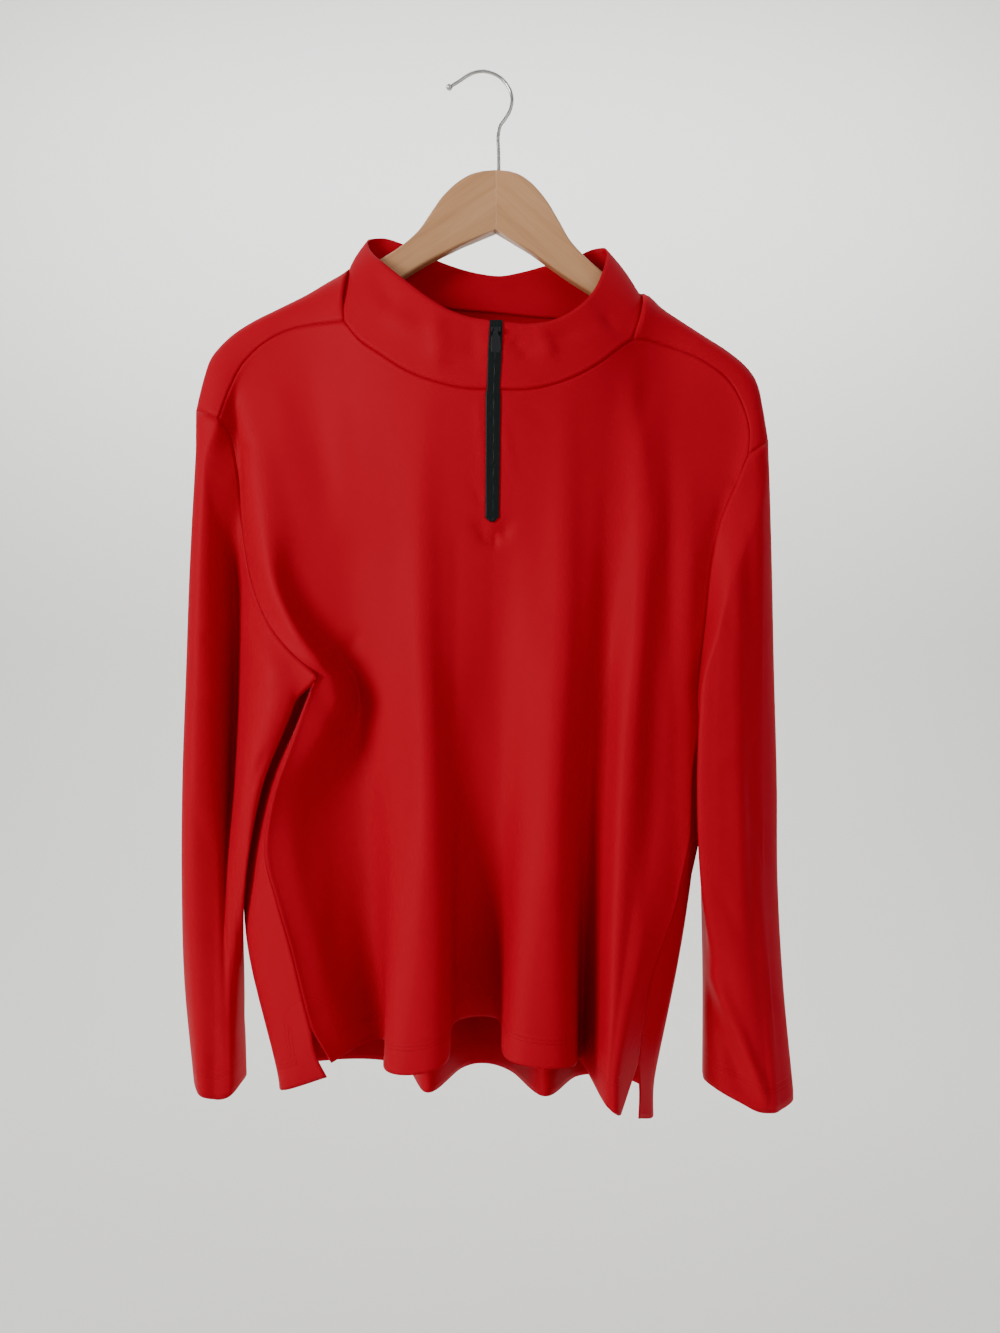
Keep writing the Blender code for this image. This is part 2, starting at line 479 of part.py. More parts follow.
def cloth_wall(name, faces, normals, underarms, colour, collection):
    """A closed wall of cloth: the sheet moved out and in along the shared normals.

    Its edges are first drawn back by half the seam gap, in the sheet and square to the
    edge, so that neighbours stay apart with their ends mitred, a little more near an
    underarm. Each four-sided face is
    parted along its shorter diagonal, the same way inside and out, so that the wall
    keeps its thickness where the sheet twists.
    """
    key = np.round(faces.reshape(-1, 3) / 1e-6).astype(np.int64)
    _, first, owner = np.unique(key, axis=0, return_index=True, return_inverse=True)
    owner = owner.reshape(-1)
    points = faces.reshape(-1, 3)[first]
    out = normals[first]
    quad = owner.reshape(-1, 4)
    start = quad.reshape(-1)
    end = np.roll(quad, -1, axis=1).reshape(-1)
    twins = set(zip(end.tolist(), start.tolist()))
    rim = [(a, b) for a, b in zip(start.tolist(), end.tolist()) if (a, b) not in twins]
    inward = np.zeros_like(points)
    for a, b in rim:
        square = np.cross(out[a] + out[b], points[b] - points[a])
        square /= np.linalg.norm(square)
        inward[a] += square
        inward[b] += square
    length = np.linalg.norm(inward, axis=1)
    moved = length > 0
    apart = np.linalg.norm(points[:, None] - np.array(list(underarms.values())), axis=2).min(axis=1)
    gap = SEAM_GAP + UNDERARM_EXTRA * np.clip(1 - apart / UNDERARM_REACH, 0, 1)
    inward[moved] *= (gap[moved] / length[moved] ** 2)[:, None]
    base = points + inward
    count = len(points)
    vertices = np.concatenate([base + out * CLOTH / 2, base - out * CLOTH / 2])
    corner = base[quad]
    first_way = (np.linalg.norm(corner[:, 0] - corner[:, 2], axis=1)
                 <= np.linalg.norm(corner[:, 1] - corner[:, 3], axis=1))[:, None]
    halves = np.concatenate([np.where(first_way, quad[:, [0, 1, 2]], quad[:, [0, 1, 3]]),
                             np.where(first_way, quad[:, [0, 2, 3]], quad[:, [1, 2, 3]])])
    faces = halves.tolist() + (halves[:, ::-1] + count).tolist()
    faces += [(b, a, a + count, b + count) for a, b in rim]
    mesh = bpy.data.meshes.new(name)
    mesh.from_pydata(vertices.tolist(), [], faces)
    mesh.shade_smooth()
    mesh.materials.append(colour)
    thing = bpy.data.objects.new(name, mesh)
    collection.objects.link(thing)
    return thing


def flat_solid(name, outline, thick, rounding, colour, collection, lay):
    """A plate: one face on the outline, given thickness by Solidify and rounded by Bevel.

    `lay` turns the outline's (u, v) into its place in the object, and the object's
    normal is the way the face looks.
    """
    mesh = bpy.data.meshes.new(name)
    mesh.from_pydata([lay(u, v) for u, v in outline], [], [tuple(range(len(outline)))])
    mesh.materials.append(colour)
    thing = bpy.data.objects.new(name, mesh)
    collection.objects.link(thing)
    wall = thing.modifiers.new("thickness", "SOLIDIFY")
    wall.thickness = thick
    wall.offset = 0
    if rounding:
        edge = thing.modifiers.new("rounding", "BEVEL")
        edge.width = rounding
        edge.segments = 2
        edge.limit_method = "ANGLE"
    return thing


def wooden_arm(side, colour, collection):
    """One arm of the hanger, mitred at the middle."""
    gap = SEAM_GAP / 2 * (-1 if side == "left" else 1)
    mitre = [(MITRE_X + gap, WOOD_BOTTOM * MM), (MITRE_X + gap, WOOD_TOP * MM)]
    outline = mitre + [(x * MM, z * MM) for x, z in ARM_OUTLINE[side]]
    return flat_solid(f"hanger_{side}", outline, WOOD_THICK, WOOD_ROUND, colour, collection,
                      lambda x, z: (x, 0, z))


def hook(colour, collection):
    """The wire hook: a stem on the wood, the bend over the rail and a ball end."""
    points = np.array([(x, 0, z) for x, z in HOOK_CENTRE])
    route = along(points, np.linspace(0, 1, 30))
    curve = bpy.data.curves.new("hook", "CURVE")
    curve.dimensions = "3D"
    curve.bevel_depth = WIRE_RADIUS
    curve.bevel_resolution = 2
    curve.use_fill_caps = True
    spline = curve.splines.new("POLY")
    ball = route[-1] + (route[-1] - route[-2]) * np.array([[0.25], [0.5], [0.75], [0.95]])
    places = np.concatenate([route, ball])
    sizes = np.concatenate([np.ones(len(route) - 1), [1.3], [1.7, HOOK_BALL, 1.6, 0.8]])
    spline.points.add(len(places) - 1)
    for point, place, size in zip(spline.points, places, sizes):
        point.co = (*place, 1)
        point.radius = size
    curve.materials.append(colour)
    thing = bpy.data.objects.new("hook", curve)
    collection.objects.link(thing)
    return thing


def zip_slider_and_pull(zip_top, zip_foot, colour, collection):
    """The slider near the top of the tape, and the pull that swings between its lugs."""
    down = (zip_foot - zip_top) / np.linalg.norm(zip_foot - zip_top)
    middle = zip_top + down * SLIDER_BELOW_TOP
    lean = np.arctan2(-down[1], -down[2])
    face = -(CLOTH / 2 + SEAM_GAP)
    half, back, lug, lug_width = SLIDER["width"] / 2, SLIDER["back"], SLIDER["lug"], SLIDER["lug_width"]
    outline = [(-half, face), (half, face), (half, face - back - lug),
               (half - lug_width, face - back - lug), (half - lug_width, face - back),
               (lug_width - half, face - back), (lug_width - half, face - back - lug),
               (-half, face - back - lug)]
    place = Matrix.Translation(middle) @ Matrix.Rotation(-lean, 4, "X")
    slider = flat_solid("zip_slider", outline[::-1], SLIDER["high"], 0, colour, collection,
                        lambda x, y: (x, y, 0))
    slider.matrix_world = place
    neck, wide = PULL["neck"] / 2, PULL["wide"] / 2
    shape = [(-neck, PULL["above"]), (-neck, -PULL["start"]), (-wide, -PULL["start"] - 1.5 * MM),
             (-wide, -PULL["high"] + 2 * MM), (-wide + 2 * MM, -PULL["high"]),
             (wide - 2 * MM, -PULL["high"]), (wide, -PULL["high"] + 2 * MM),
             (wide, -PULL["start"] - 1.5 * MM), (neck, -PULL["start"]), (neck, PULL["above"])]
    axis = place @ Matrix.Translation((0, face - back - lug / 2, 0)).translation
    pull = flat_solid("zip_pull", shape, PULL["thick"], 0, colour, collection,
                      lambda x, z: (x, 0, z))
    pull.location = axis
    return axis


def build():
    """Make every piece of the part in one collection."""
    clear_scene()
    collection = bpy.data.collections.new("quarter_zip_pullover_on_hanger")
    bpy.context.scene.collection.children.link(collection)
    red = material("red_jersey", RED, 0.62)
    black = material("zip_black", BLACK, 0.4)
    wood = material("hanger_wood", WOOD, 0.45)
    steel = material("hook_steel", STEEL, 0.25, 1.0)
    pieces, underarms, zip_top, zip_foot = garment_sheets()
    normals = seam_normals(pieces, underarms)
    for name, faces in pieces.items():
        colour = black if name == "zip_tape" else red
        cloth_wall(name, faces, normals[name], underarms, colour, collection)
    wooden_arm("left", wood, collection)
    wooden_arm("right", wood, collection)
    hook(steel, collection)
    zip_slider_and_pull(zip_top, zip_foot, black, collection)


build()
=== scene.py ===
# %% [markdown]
# # A quarter-zip pullover on a wooden hanger
#
# This lesson dresses a packed CAD model. The model already has the right size, the right
# place for every piece and a stiff wall for every panel of cloth. Here each panel becomes
# a finer surface with soft creases, seams, stitches and a knitted finish, and the zip,
# the wood and the wire get their own shapes and materials.
#
# Lengths are in metres, +X is to the right of someone looking at the front, -Y is towards
# them and +Z is up. The origin is under the bend of the hook, where the hanger hangs.

import json

import bpy
import numpy as np
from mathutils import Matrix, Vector

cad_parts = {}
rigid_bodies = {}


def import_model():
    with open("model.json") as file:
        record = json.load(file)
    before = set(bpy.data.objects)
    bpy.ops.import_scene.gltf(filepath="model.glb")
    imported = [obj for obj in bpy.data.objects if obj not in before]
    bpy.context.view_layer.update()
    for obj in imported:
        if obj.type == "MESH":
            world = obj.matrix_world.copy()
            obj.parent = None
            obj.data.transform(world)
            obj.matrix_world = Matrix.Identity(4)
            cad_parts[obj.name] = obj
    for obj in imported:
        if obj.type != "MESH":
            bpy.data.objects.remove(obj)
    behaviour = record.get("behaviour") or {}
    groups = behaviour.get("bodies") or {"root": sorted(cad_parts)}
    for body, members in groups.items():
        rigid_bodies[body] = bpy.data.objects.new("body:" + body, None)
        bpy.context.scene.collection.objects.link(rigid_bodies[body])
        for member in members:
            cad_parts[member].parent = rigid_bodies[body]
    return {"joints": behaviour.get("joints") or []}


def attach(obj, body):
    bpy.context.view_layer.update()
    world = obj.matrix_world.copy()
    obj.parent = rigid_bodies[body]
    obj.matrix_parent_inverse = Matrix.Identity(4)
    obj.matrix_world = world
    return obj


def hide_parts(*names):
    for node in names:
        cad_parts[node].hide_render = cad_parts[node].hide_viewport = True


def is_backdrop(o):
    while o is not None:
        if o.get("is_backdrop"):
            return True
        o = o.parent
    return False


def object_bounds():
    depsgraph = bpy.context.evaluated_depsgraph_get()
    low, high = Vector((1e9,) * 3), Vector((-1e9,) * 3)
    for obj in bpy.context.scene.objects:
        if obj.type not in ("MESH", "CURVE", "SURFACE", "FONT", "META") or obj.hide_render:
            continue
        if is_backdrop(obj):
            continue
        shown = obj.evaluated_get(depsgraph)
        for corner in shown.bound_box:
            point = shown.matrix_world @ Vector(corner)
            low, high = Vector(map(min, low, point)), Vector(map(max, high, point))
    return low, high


for old in list(bpy.data.objects):      # whatever an empty file starts with
    bpy.data.objects.remove(old)
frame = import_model()
cad_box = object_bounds()
GARMENT, PULL_TAB = "garment", "pull_tab"
print("CAD box", [tuple(round(c, 3) for c in corner) for corner in cad_box])

# %% [markdown]
# ## Camera
#
# The view is level and straight on, from less than a metre away. So near, the folds that
# come forward look clearly wider than the ones behind, and that closeness is part of the
# likeness. A longer lens from further off would flatten them.

# %% A level camera in front of the chest
EYE = (0.014, -0.900, -0.518)
LENS, LONG_SIDE = 27.84, 36.0           # mm; the long side is the picture's height

camera_data = bpy.data.cameras.new("camera")
camera_data.lens = LENS
camera_data.sensor_width = LONG_SIDE
camera = bpy.data.objects.new("camera", camera_data)
camera.location = EYE
camera.rotation_euler = (np.pi / 2, 0, 0)
bpy.context.scene.collection.objects.link(camera)
bpy.context.scene.camera = camera
print("camera at", EYE, "lens", LENS)

# %% [markdown]
# ## Floor and light
#
# A pale floor sweeps up into a pale backdrop far behind, so nothing distracts from the
# cloth. The light is soft: one broad lamp in front and well to the left models the
# folds, a weak one on the right keeps the valleys readable, the pale world fills the rest,
# and a wide lamp behind the pullover brightens the backdrop only.

# %% A helper that puts whole arrays into a mesh
def mesh_object(name, points, faces):
    """An object whose mesh has these points and faces, shaded smooth."""
    mesh = bpy.data.meshes.new(name)
    mesh.from_pydata(np.asarray(points).tolist(), [], [list(face) for face in faces])
    mesh.shade_smooth()
    made = bpy.data.objects.new(name, mesh)
    bpy.context.scene.collection.objects.link(made)
    return made


def grid_faces(rows, columns, closed=False):
    """Corner numbers of the four-sided faces between rows x columns points of a grid.

    Point (r, c) has number r * columns + c; a closed grid joins its last column to its first.
    """
    r = np.arange(rows - 1)[:, None]
    c = np.arange(columns if closed else columns - 1)[None, :]
    after = (c + 1) % columns
    faces = np.stack([r * columns + c, (r + 1) * columns + c,
                      (r + 1) * columns + after, r * columns + after], axis=-1)
    return faces.reshape(-1, 4)


print("a grid of 3 x 4 points has", len(grid_faces(3, 4)), "faces")

# %% The floor and the backdrop are one swept sheet
FLOOR_Z, FLOOR_EDGE_Y, WALL_Y, BEND_RADIUS, WALL_HEIGHT = -1.45, -6.0, 2.6, 1.0, 3.5
FLOOR_SHARE, BEND_SHARE = 0.4, 0.3      # shares of the profile; the wall has the rest
SWEEP_ROWS, SWEEP_COLUMNS, HALF_WIDTH = 61, 5, 14.0


def sweep_profile(t):
    """Depth and height at t from 0 to 1: level floor, a quarter circle, then straight up."""
    bend = np.clip((t - FLOOR_SHARE) / BEND_SHARE, 0, 1) * np.pi / 2
    bend_y = WALL_Y - BEND_RADIUS
    y = np.where(t < FLOOR_SHARE, FLOOR_EDGE_Y + (bend_y - FLOOR_EDGE_Y) * t / FLOOR_SHARE,
                 bend_y + BEND_RADIUS * np.sin(bend))
    up_wall = np.clip((t - FLOOR_SHARE - BEND_SHARE) / BEND_SHARE, 0, 1) * WALL_HEIGHT
    return y, FLOOR_Z + BEND_RADIUS * (1 - np.cos(bend)) + up_wall


t, side = np.meshgrid(np.linspace(0, 1, SWEEP_ROWS),
                      np.linspace(-HALF_WIDTH, HALF_WIDTH, SWEEP_COLUMNS), indexing="ij")
backdrop = mesh_object("backdrop", np.stack([side, *sweep_profile(t)], -1).reshape(-1, 3),
                       grid_faces(SWEEP_ROWS, SWEEP_COLUMNS)[:, ::-1])
backdrop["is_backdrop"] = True
print("backdrop", len(backdrop.data.polygons), "faces")

# %% Soft lamps and a pale world
LAMPS = [  # name, place, what it looks at, width, height, watts
    ("front_left", (-1.95, -1.50, 0.15), (0.02, 0.0, -0.50), 0.8, 0.9, 50),
    ("front_right", (1.3, -2.0, 0.1), (0.0, 0.0, -0.50), 1.4, 1.6, 12),
    ("above", (0.2, -0.5, 1.5), (0.0, 0.0, -0.4), 1.4, 1.0, 5),
    ("on_backdrop", (0.0, 1.05, 1.5), (0.0, 2.6, 0.1), 4.5, 0.8, 135),
]
for name, place, target, width, height, watts in LAMPS:
    lamp_data = bpy.data.lights.new(name, "AREA")
    lamp_data.shape = "RECTANGLE"
    lamp_data.size, lamp_data.size_y = width, height
    lamp_data.energy = watts
    lamp = bpy.data.objects.new(name, lamp_data)
    lamp.location = place
    lamp.rotation_euler = (Vector(target) - Vector(place)).to_track_quat("-Z", "Y").to_euler()
    bpy.context.scene.collection.objects.link(lamp)

world = bpy.data.worlds.new("pale_room")
world.use_nodes = True
room = world.node_tree.nodes["Background"].inputs
room["Color"].default_value = (0.93, 0.94, 0.92, 1)
room["Strength"].default_value = 0.34
bpy.context.scene.world = world
print(len(LAMPS), "lamps")

# %% [markdown]
# ## Shader arithmetic
#
# A pattern such as a row of stitches is a small formula. Written as nodes it is hard to
# read, so a class wraps a node's output and lets Python's own signs build the Math nodes:
# `1 - mask` or `height * 0.2`. Colours are mixed with the Mix node instead.

# %% One class for a node's output
class Wire:
    """A node's output. Arithmetic on it adds Math nodes; `node` adds any other node."""

    def __init__(self, tree, socket=None):
        self.tree, self.socket = tree, socket

    def node(self, kind, settings=(), inputs=(), out=0):
        """A new node: settings first, then its sockets' values or links; returns one output."""
        made = self.tree.nodes.new(kind)
        for key, value in dict(settings).items():
            if key == "stops":
                ramp = made.color_ramp.elements
                for number, (place, colour) in enumerate(value):
                    stop = ramp[number] if number < 2 else ramp.new(place)
                    stop.position, stop.color = place, colour
            else:
                setattr(made, key, value)
        for key, value in dict(inputs).items():
            if isinstance(value, Wire):
                self.tree.links.new(value.socket, made.inputs[key])
            else:
                made.inputs[key].default_value = value
        return Wire(self.tree, made.outputs[out])

    def math(self, operation, *values):
        """A Math node on these values."""
        return self.node("ShaderNodeMath", {"operation": operation}, enumerate(values))

    def __add__(self, other):
        return self.math("ADD", self, other)

    def __sub__(self, other):
        return self.math("SUBTRACT", self, other)

    def __rsub__(self, other):
        return self.math("SUBTRACT", other, self)

    def __mul__(self, other):
        return self.math("MULTIPLY", self, other)

    def __truediv__(self, other):
        return self.math("DIVIDE", self, other)

    def __neg__(self):
        return self.math("MULTIPLY", self, -1.0)

    __radd__, __rmul__ = __add__, __mul__

    def bell(self, middle, width):
        """1 at `middle`, falling off both ways: exp(-((value - middle) / width)^2)."""
        off = (self - middle) / width
        return self.math("EXPONENT", -(off * off))

    def attribute(self, name):
        """A number that the mesh carries at each point."""
        return self.node("ShaderNodeAttribute", {"attribute_name": name}, out="Fac")

    def noise(self, place, scale, detail=2.0, roughness=0.5):
        """Noise from 0 to 1 at a place; scale is in lumps to the metre."""
        return self.node("ShaderNodeTexNoise", {}, {"Vector": place, "Scale": scale,
                                                   "Detail": detail, "Roughness": roughness})

    def place(self):
        """Object coordinates: where a point is, in metres from the hook."""
        return self.node("ShaderNodeTexCoord", out="Object")

    def mapped(self, place, **turn):
        """A place turned, moved or scaled by a Mapping node."""
        return self.node("ShaderNodeMapping", {}, {"Vector": place, **turn})

    def mix(self, share, first, second):
        """A colour between two, by share."""
        return self.node("ShaderNodeMix", {"data_type": "RGBA"},
                         {0: share, 6: first, 7: second}, out=2)


print("Wire makes", ", ".join(name for name in vars(Wire) if not name.startswith("_")))

# %% A finish is one Principled material
def new_finish(name, **sockets):
    """A material, its Principled shader's inputs, and a Wire to build its pattern with."""
    made = bpy.data.materials.new(name)
    made.use_nodes = True
    tree = made.node_tree
    shader = tree.nodes["Principled BSDF"]
    for key, value in sockets.items():
        shader.inputs[key.replace("_", " ")].default_value = value
    return made, shader.inputs, Wire(tree)


def feed(wire, shader_input):
    """Link a pattern to one of the shader's inputs."""
    wire.tree.links.new(wire.socket, shader_input)


def connect(wire, shader_inputs, colour, roughness, height):
    """Link colour and roughness to the shader, and let a height in metres tilt the surface."""
    feed(colour, shader_inputs["Base Color"])
    feed(roughness, shader_inputs["Roughness"])
    feed(wire.node("ShaderNodeBump", {}, {"Height": height, "Distance": 1.0, "Strength": 1.0}),
         shader_inputs["Normal"])


def grained(name, scale, detail, dark, light, roughness, depth, **sockets):
    """A finish whose grain mixes two colours, varies the roughness and is `depth` high."""
    made, shader_inputs, wire = new_finish(name, **sockets)
    grain = wire.noise(wire.place(), scale, detail)
    connect(wire, shader_inputs, wire.mix(grain, dark, light), grain * 0.2 + roughness,
            grain * depth)
    return made


pale, pale_inputs, maker = new_finish("pale_backdrop", Roughness=0.9)
feed(maker.mix(maker.noise(maker.place(), 0.8), (0.76, 0.755, 0.735, 1), (0.80, 0.795, 0.775, 1)),
     pale_inputs["Base Color"])
backdrop.data.materials.append(pale)
print("finish", pale.name)

# %% [markdown]
# ## Smooth curves from a few points
#
# Seams and folds are stated as a few points each. A smooth curve through them is a
# weighted mean of those points, and the weights come from cubic pieces that share their
# slope where they meet. The same weights serve a seam in space and a table of folds.

# %% Weights of the smooth curve through a row of knots
MM = 0.001                       # metres in a millimetre


def weights(knots, at):
    """How much each knot counts at each place of `at`, on the smooth curve through them.

    The curve is made of cubic pieces, and its slope at a knot is that of its neighbours.
    """
    knots = np.asarray(knots, float)
    pick = np.eye(len(knots))
    slope = np.gradient(pick, knots, axis=0)
    at = np.clip(np.asarray(at, float), knots[0], knots[-1])
    i = np.clip(np.searchsorted(knots, at, side="right") - 1, 0, len(knots) - 2)
    step = (knots[i + 1] - knots[i])[..., None]
    t = (at - knots[i])[..., None] / step
    return ((1 + 2 * t) * (1 - t) ** 2 * pick[i] + t * (1 - t) ** 2 * step * slope[i]
            + t * t * (3 - 2 * t) * pick[i + 1] + t * t * (t - 1) * step * slope[i + 1])


def run_along(points):
    """How far along a row of points each one is: the sum of the straight steps up to it."""
    return np.concatenate([[0], np.cumsum(np.linalg.norm(np.diff(points, axis=0), axis=1))])


def along(points, fractions):
    """Places at fractions of the length of the smooth curve through points (in mm)."""
    points = np.array(points, float) * MM
    reach = run_along(points)
    return weights(reach / reach[-1], fractions) @ points


def shares(count):
    """From 0 to 1 in `count` equal steps."""
    return np.linspace(0, 1, count + 1)


def unit(vectors):
    """Vectors of the same direction and of length 1; a vector of no length stays as it is."""
    return vectors / np.maximum(np.linalg.norm(vectors, axis=-1, keepdims=True), 1e-12)


def join(*curves):
    """Curves end to end, each starting where the one before it stops."""
    return np.concatenate([curves[0]] + [curve[1:] for curve in curves[1:]])


print("weights half way:", weights([0, 1, 2, 3], [1.5]).round(3))

# %% [markdown]
# ## Where the seams run
#
# The panels meet along shared seams, so those come first: the top of the shoulder, the
# seam a little in front of it, the neckline, the armholes and the side seams down to the
# vents. Each is a list of (x, y, z) in millimetres, read outwards or downwards. Curves drawn
# by hand could hold them, but two panels can share a list of numbers exactly.

# %% Shoulders, neckline and collar
RIDGE = dict(                    # top of the shoulder, from the neck outwards
    left=[(-112, 0, -169), (-123, 0, -177), (-134, 0, -183), (-151, 0, -193),
          (-177, 0, -206), (-203, 0, -219), (-217, 0, -228), (-229, 0, -239),
          (-238, 0, -251), (-243, 0, -266), (-247, 0, -282), (-250, 0, -297)],
    right=[(134, 0, -192), (145, 0, -197), (151, 0, -203), (174, 0, -219),
           (194, 0, -232), (214, 0, -245), (227, 0, -256), (235, 0, -266),
           (239, 0, -276), (242, 0, -292), (245, 0, -310), (247, 0, -323)])
SHOULDER = dict(                 # forward shoulder seam, from the neck outwards
    left=[(-117, -30, -227), (-142, -20, -226), (-166, -15, -229), (-191, -14, -242),
          (-207, -15, -259), (-217, -19, -281), (-225, -24, -307)],
    right=[(125, -30, -242), (142, -21, -241), (159, -16, -244), (186, -15, -254),
           (211, -15, -273), (222, -17, -294), (227, -20, -316), (225, -24, -338)])
NECK_FRONT = [(-117, -30, -227), (-105, -36, -243), (-87, -42, -257), (-60, -49, -275),
              (-38, -53, -284), (-13, -55, -290), (8, -56, -291), (43, -55, -290),
              (67, -52, -283), (95, -45, -267), (115, -36, -250), (125, -30, -242)]
NECK_BACK = [(-112, 0, -169), (-110.5, 5, -170), (-107, 9, -172), (-97, 13, -176),
             (-75, 17, -186), (-39, 18, -198), (9, 18, -203), (58, 18, -208), (103, 17, -209),
             (122, 13, -204), (129.5, 9, -198), (132.5, 5, -193), (134, 0, -192)]
NECK_SIDE = dict(                # neckline from the shoulder seam up to the shoulder's top
    left=[(-117, -30, -227), (-120, -22, -203), (-118, -10, -182), (-112, 0, -169)],
    right=[(125, -30, -242), (133, -22, -221), (137, -10, -203), (134, 0, -192)])
COLLAR_TOP_FRONT = [(-94, -16, -165), (-86, -24, -174), (-64, -38, -196), (-47, -45, -211),
                    (-28, -50, -224), (-9, -52, -231), (11, -53, -234), (38, -51, -236),
                    (51, -49, -234), (67, -45, -227), (83, -38, -214), (92, -30, -202),
                    (100, -20, -185)]
COLLAR_TOP_BACK = [(-99, 8, -141.5), (-90, 14, -138.5), (-71, 17, -143), (-38, 19, -158),
                   (-4, 19, -168), (14, 19, -170), (32, 19, -167), (52, 18, -162),
                   (87, 15, -152), (95, 12, -149.5), (102, 8, -149.5)]
print(len(NECK_FRONT), "points on the front neckline and", len(NECK_BACK), "on the back's")

# %% Armholes, side seams and vents
ARM_FRONT = dict(
    left=[(-225, -24, -307), (-219, -14, -318), (-213, -8, -348), (-210, -6, -391),
          (-202, -14, -435), (-184, -36, -475), (-157, -61, -505), (-132, -72, -525)],
    right=[(225, -24, -338), (213, -28, -365), (200, -30, -395), (192, -31, -433),
           (187, -33, -479), (182, -35, -521), (178, -36, -556)])
ARM_BACK = dict(
    left=[(-250, 0, -297), (-241, 12, -305), (-226, 16, -330), (-209, 18, -383),
          (-190, 12, -442), (-180, 2, -475), (-168, -20, -500), (-152, -46, -517),
          (-132, -72, -525)],
    right=[(247, 0, -323), (242, 12, -331), (232, 16, -361), (217, 18, -410),
           (202, 12, -468), (191, -6, -520), (178, -36, -556)])
SIDE = dict(                     # side seam, underarm to the top of the vent
    left=[(-132, -72, -525), (-142, -72, -547), (-155, -69, -583), (-167, -66, -614),
          (-174, -62, -640), (-178, -58, -670), (-169, -56, -709), (-157, -56, -750),
          (-147, -56, -791), (-141, -56, -814)],
    right=[(178, -36, -556), (172, -40, -596), (168, -45, -670), (161, -50, -710),
           (149, -55, -742), (138, -58, -770), (132, -60, -800), (126, -62, -840)])
VENT_FRONT = dict(left=[(-141, -56, -814), (-124, -55, -843)],
                  right=[(126, -62, -840), (109, -88, -871)])
VENT_BACK = dict(left=[(-141, -56, -814), (-138, -53, -836), (-129, -49, -857)],
                 right=[(126, -62, -840), (128, -58, -866), (128, -52, -890)])
print("side seams of", len(SIDE["left"]), "and", len(SIDE["right"]), "points")

# %% [markdown]
# ## The folds of the body
#
# The body hangs in a few long folds. Every fold line has a name, a place (x and y, in mm)
# at each of six heights, and one height for the hem below it, which makes the hem wave. A
# cloth simulation would give other folds than the ones this pullover hangs in.

# %% Fold lines of the front
FRONT_HEIGHTS = (-400, -460, -500, -525, -620, -835)
FRONT = [
    # fold line      chest       armhole     under it    side        waist       hem         hem z
    ("side_left",    -208, -7,   -191, -29,  -161, -58,  -132, -72,  -169, -66,  -124, -55,  -843),
    ("arm_ridge",    -186, -42,  -169, -53,  -143, -64,  -119, -66,  -152, -54,  -114, -40,  -841),
    ("arm_valley",   -155, -36,  -154, -34,  -132, -38,  -110, -38,  -128, -36,  -102, -24,  -839),
    ("valley_a",     -116, -37,  -114, -35,  -110, -35,  -104, -35,  -100, -35,  -84, -18,   -838),
    ("ridge1_left",  -80, -44,   -77, -45,   -75, -47,   -74, -49,   -72, -52,   -77, -84,   -837),
    ("ridge1",       -54, -50,   -53, -54,   -52, -57,   -50, -60,   -47, -67,   -52, -97,   -836),
    ("ridge1_right", -32, -47,   -31, -49,   -31, -50,   -30, -52,   -28, -58,   -28, -84,   -831),
    ("zip_left",     2, -46.5,   -1, -45.5,  -3, -45,    -6, -45,    -14, -45,   -25, -20,   -821),
    ("zip_right",    13, -46.5,  13, -45.5,  13, -44.5,  13, -44,    12, -43,    12, -15,    -820),
    ("ridge2_left",  42, -49,    40, -51,    38, -53,    37, -54,    34, -58,    17, -84,    -827),
    ("ridge2",       66, -52,    64, -55,    62, -58,    60, -61,    56, -68,    45, -97,    -831),
    ("ridge2_right", 88, -47,    85, -49,    82, -50,    79, -52,    72, -58,    71, -84,    -835),
    ("valley_c",     112, -42,   107, -40,   103, -39,   99, -38,    90, -38,    82, -30,    -850),
    ("ridge3",       137, -47,   130, -50,   126, -52,   122, -55,   113, -62,   95, -86,    -860),
    ("flank_c",      156, -40,   151, -41,   147, -42,   143, -44,   135, -50,   101, -95,   -865),
    ("ridge4",       176, -38,   170, -40,   166, -40,   161, -42,   151, -46,   106, -94,   -869),
    ("side_right",   198, -31,   189, -33,   184, -34,   180, -35,   171, -42,   109, -88,   -871),
]
FRONT_NECK = (3, 13)             # the fold lines where the shoulder seams meet the neck
FRONT_ZIP = (7, 8)               # the fold lines on either side of the zip
print(len(FRONT), "fold lines on the front")

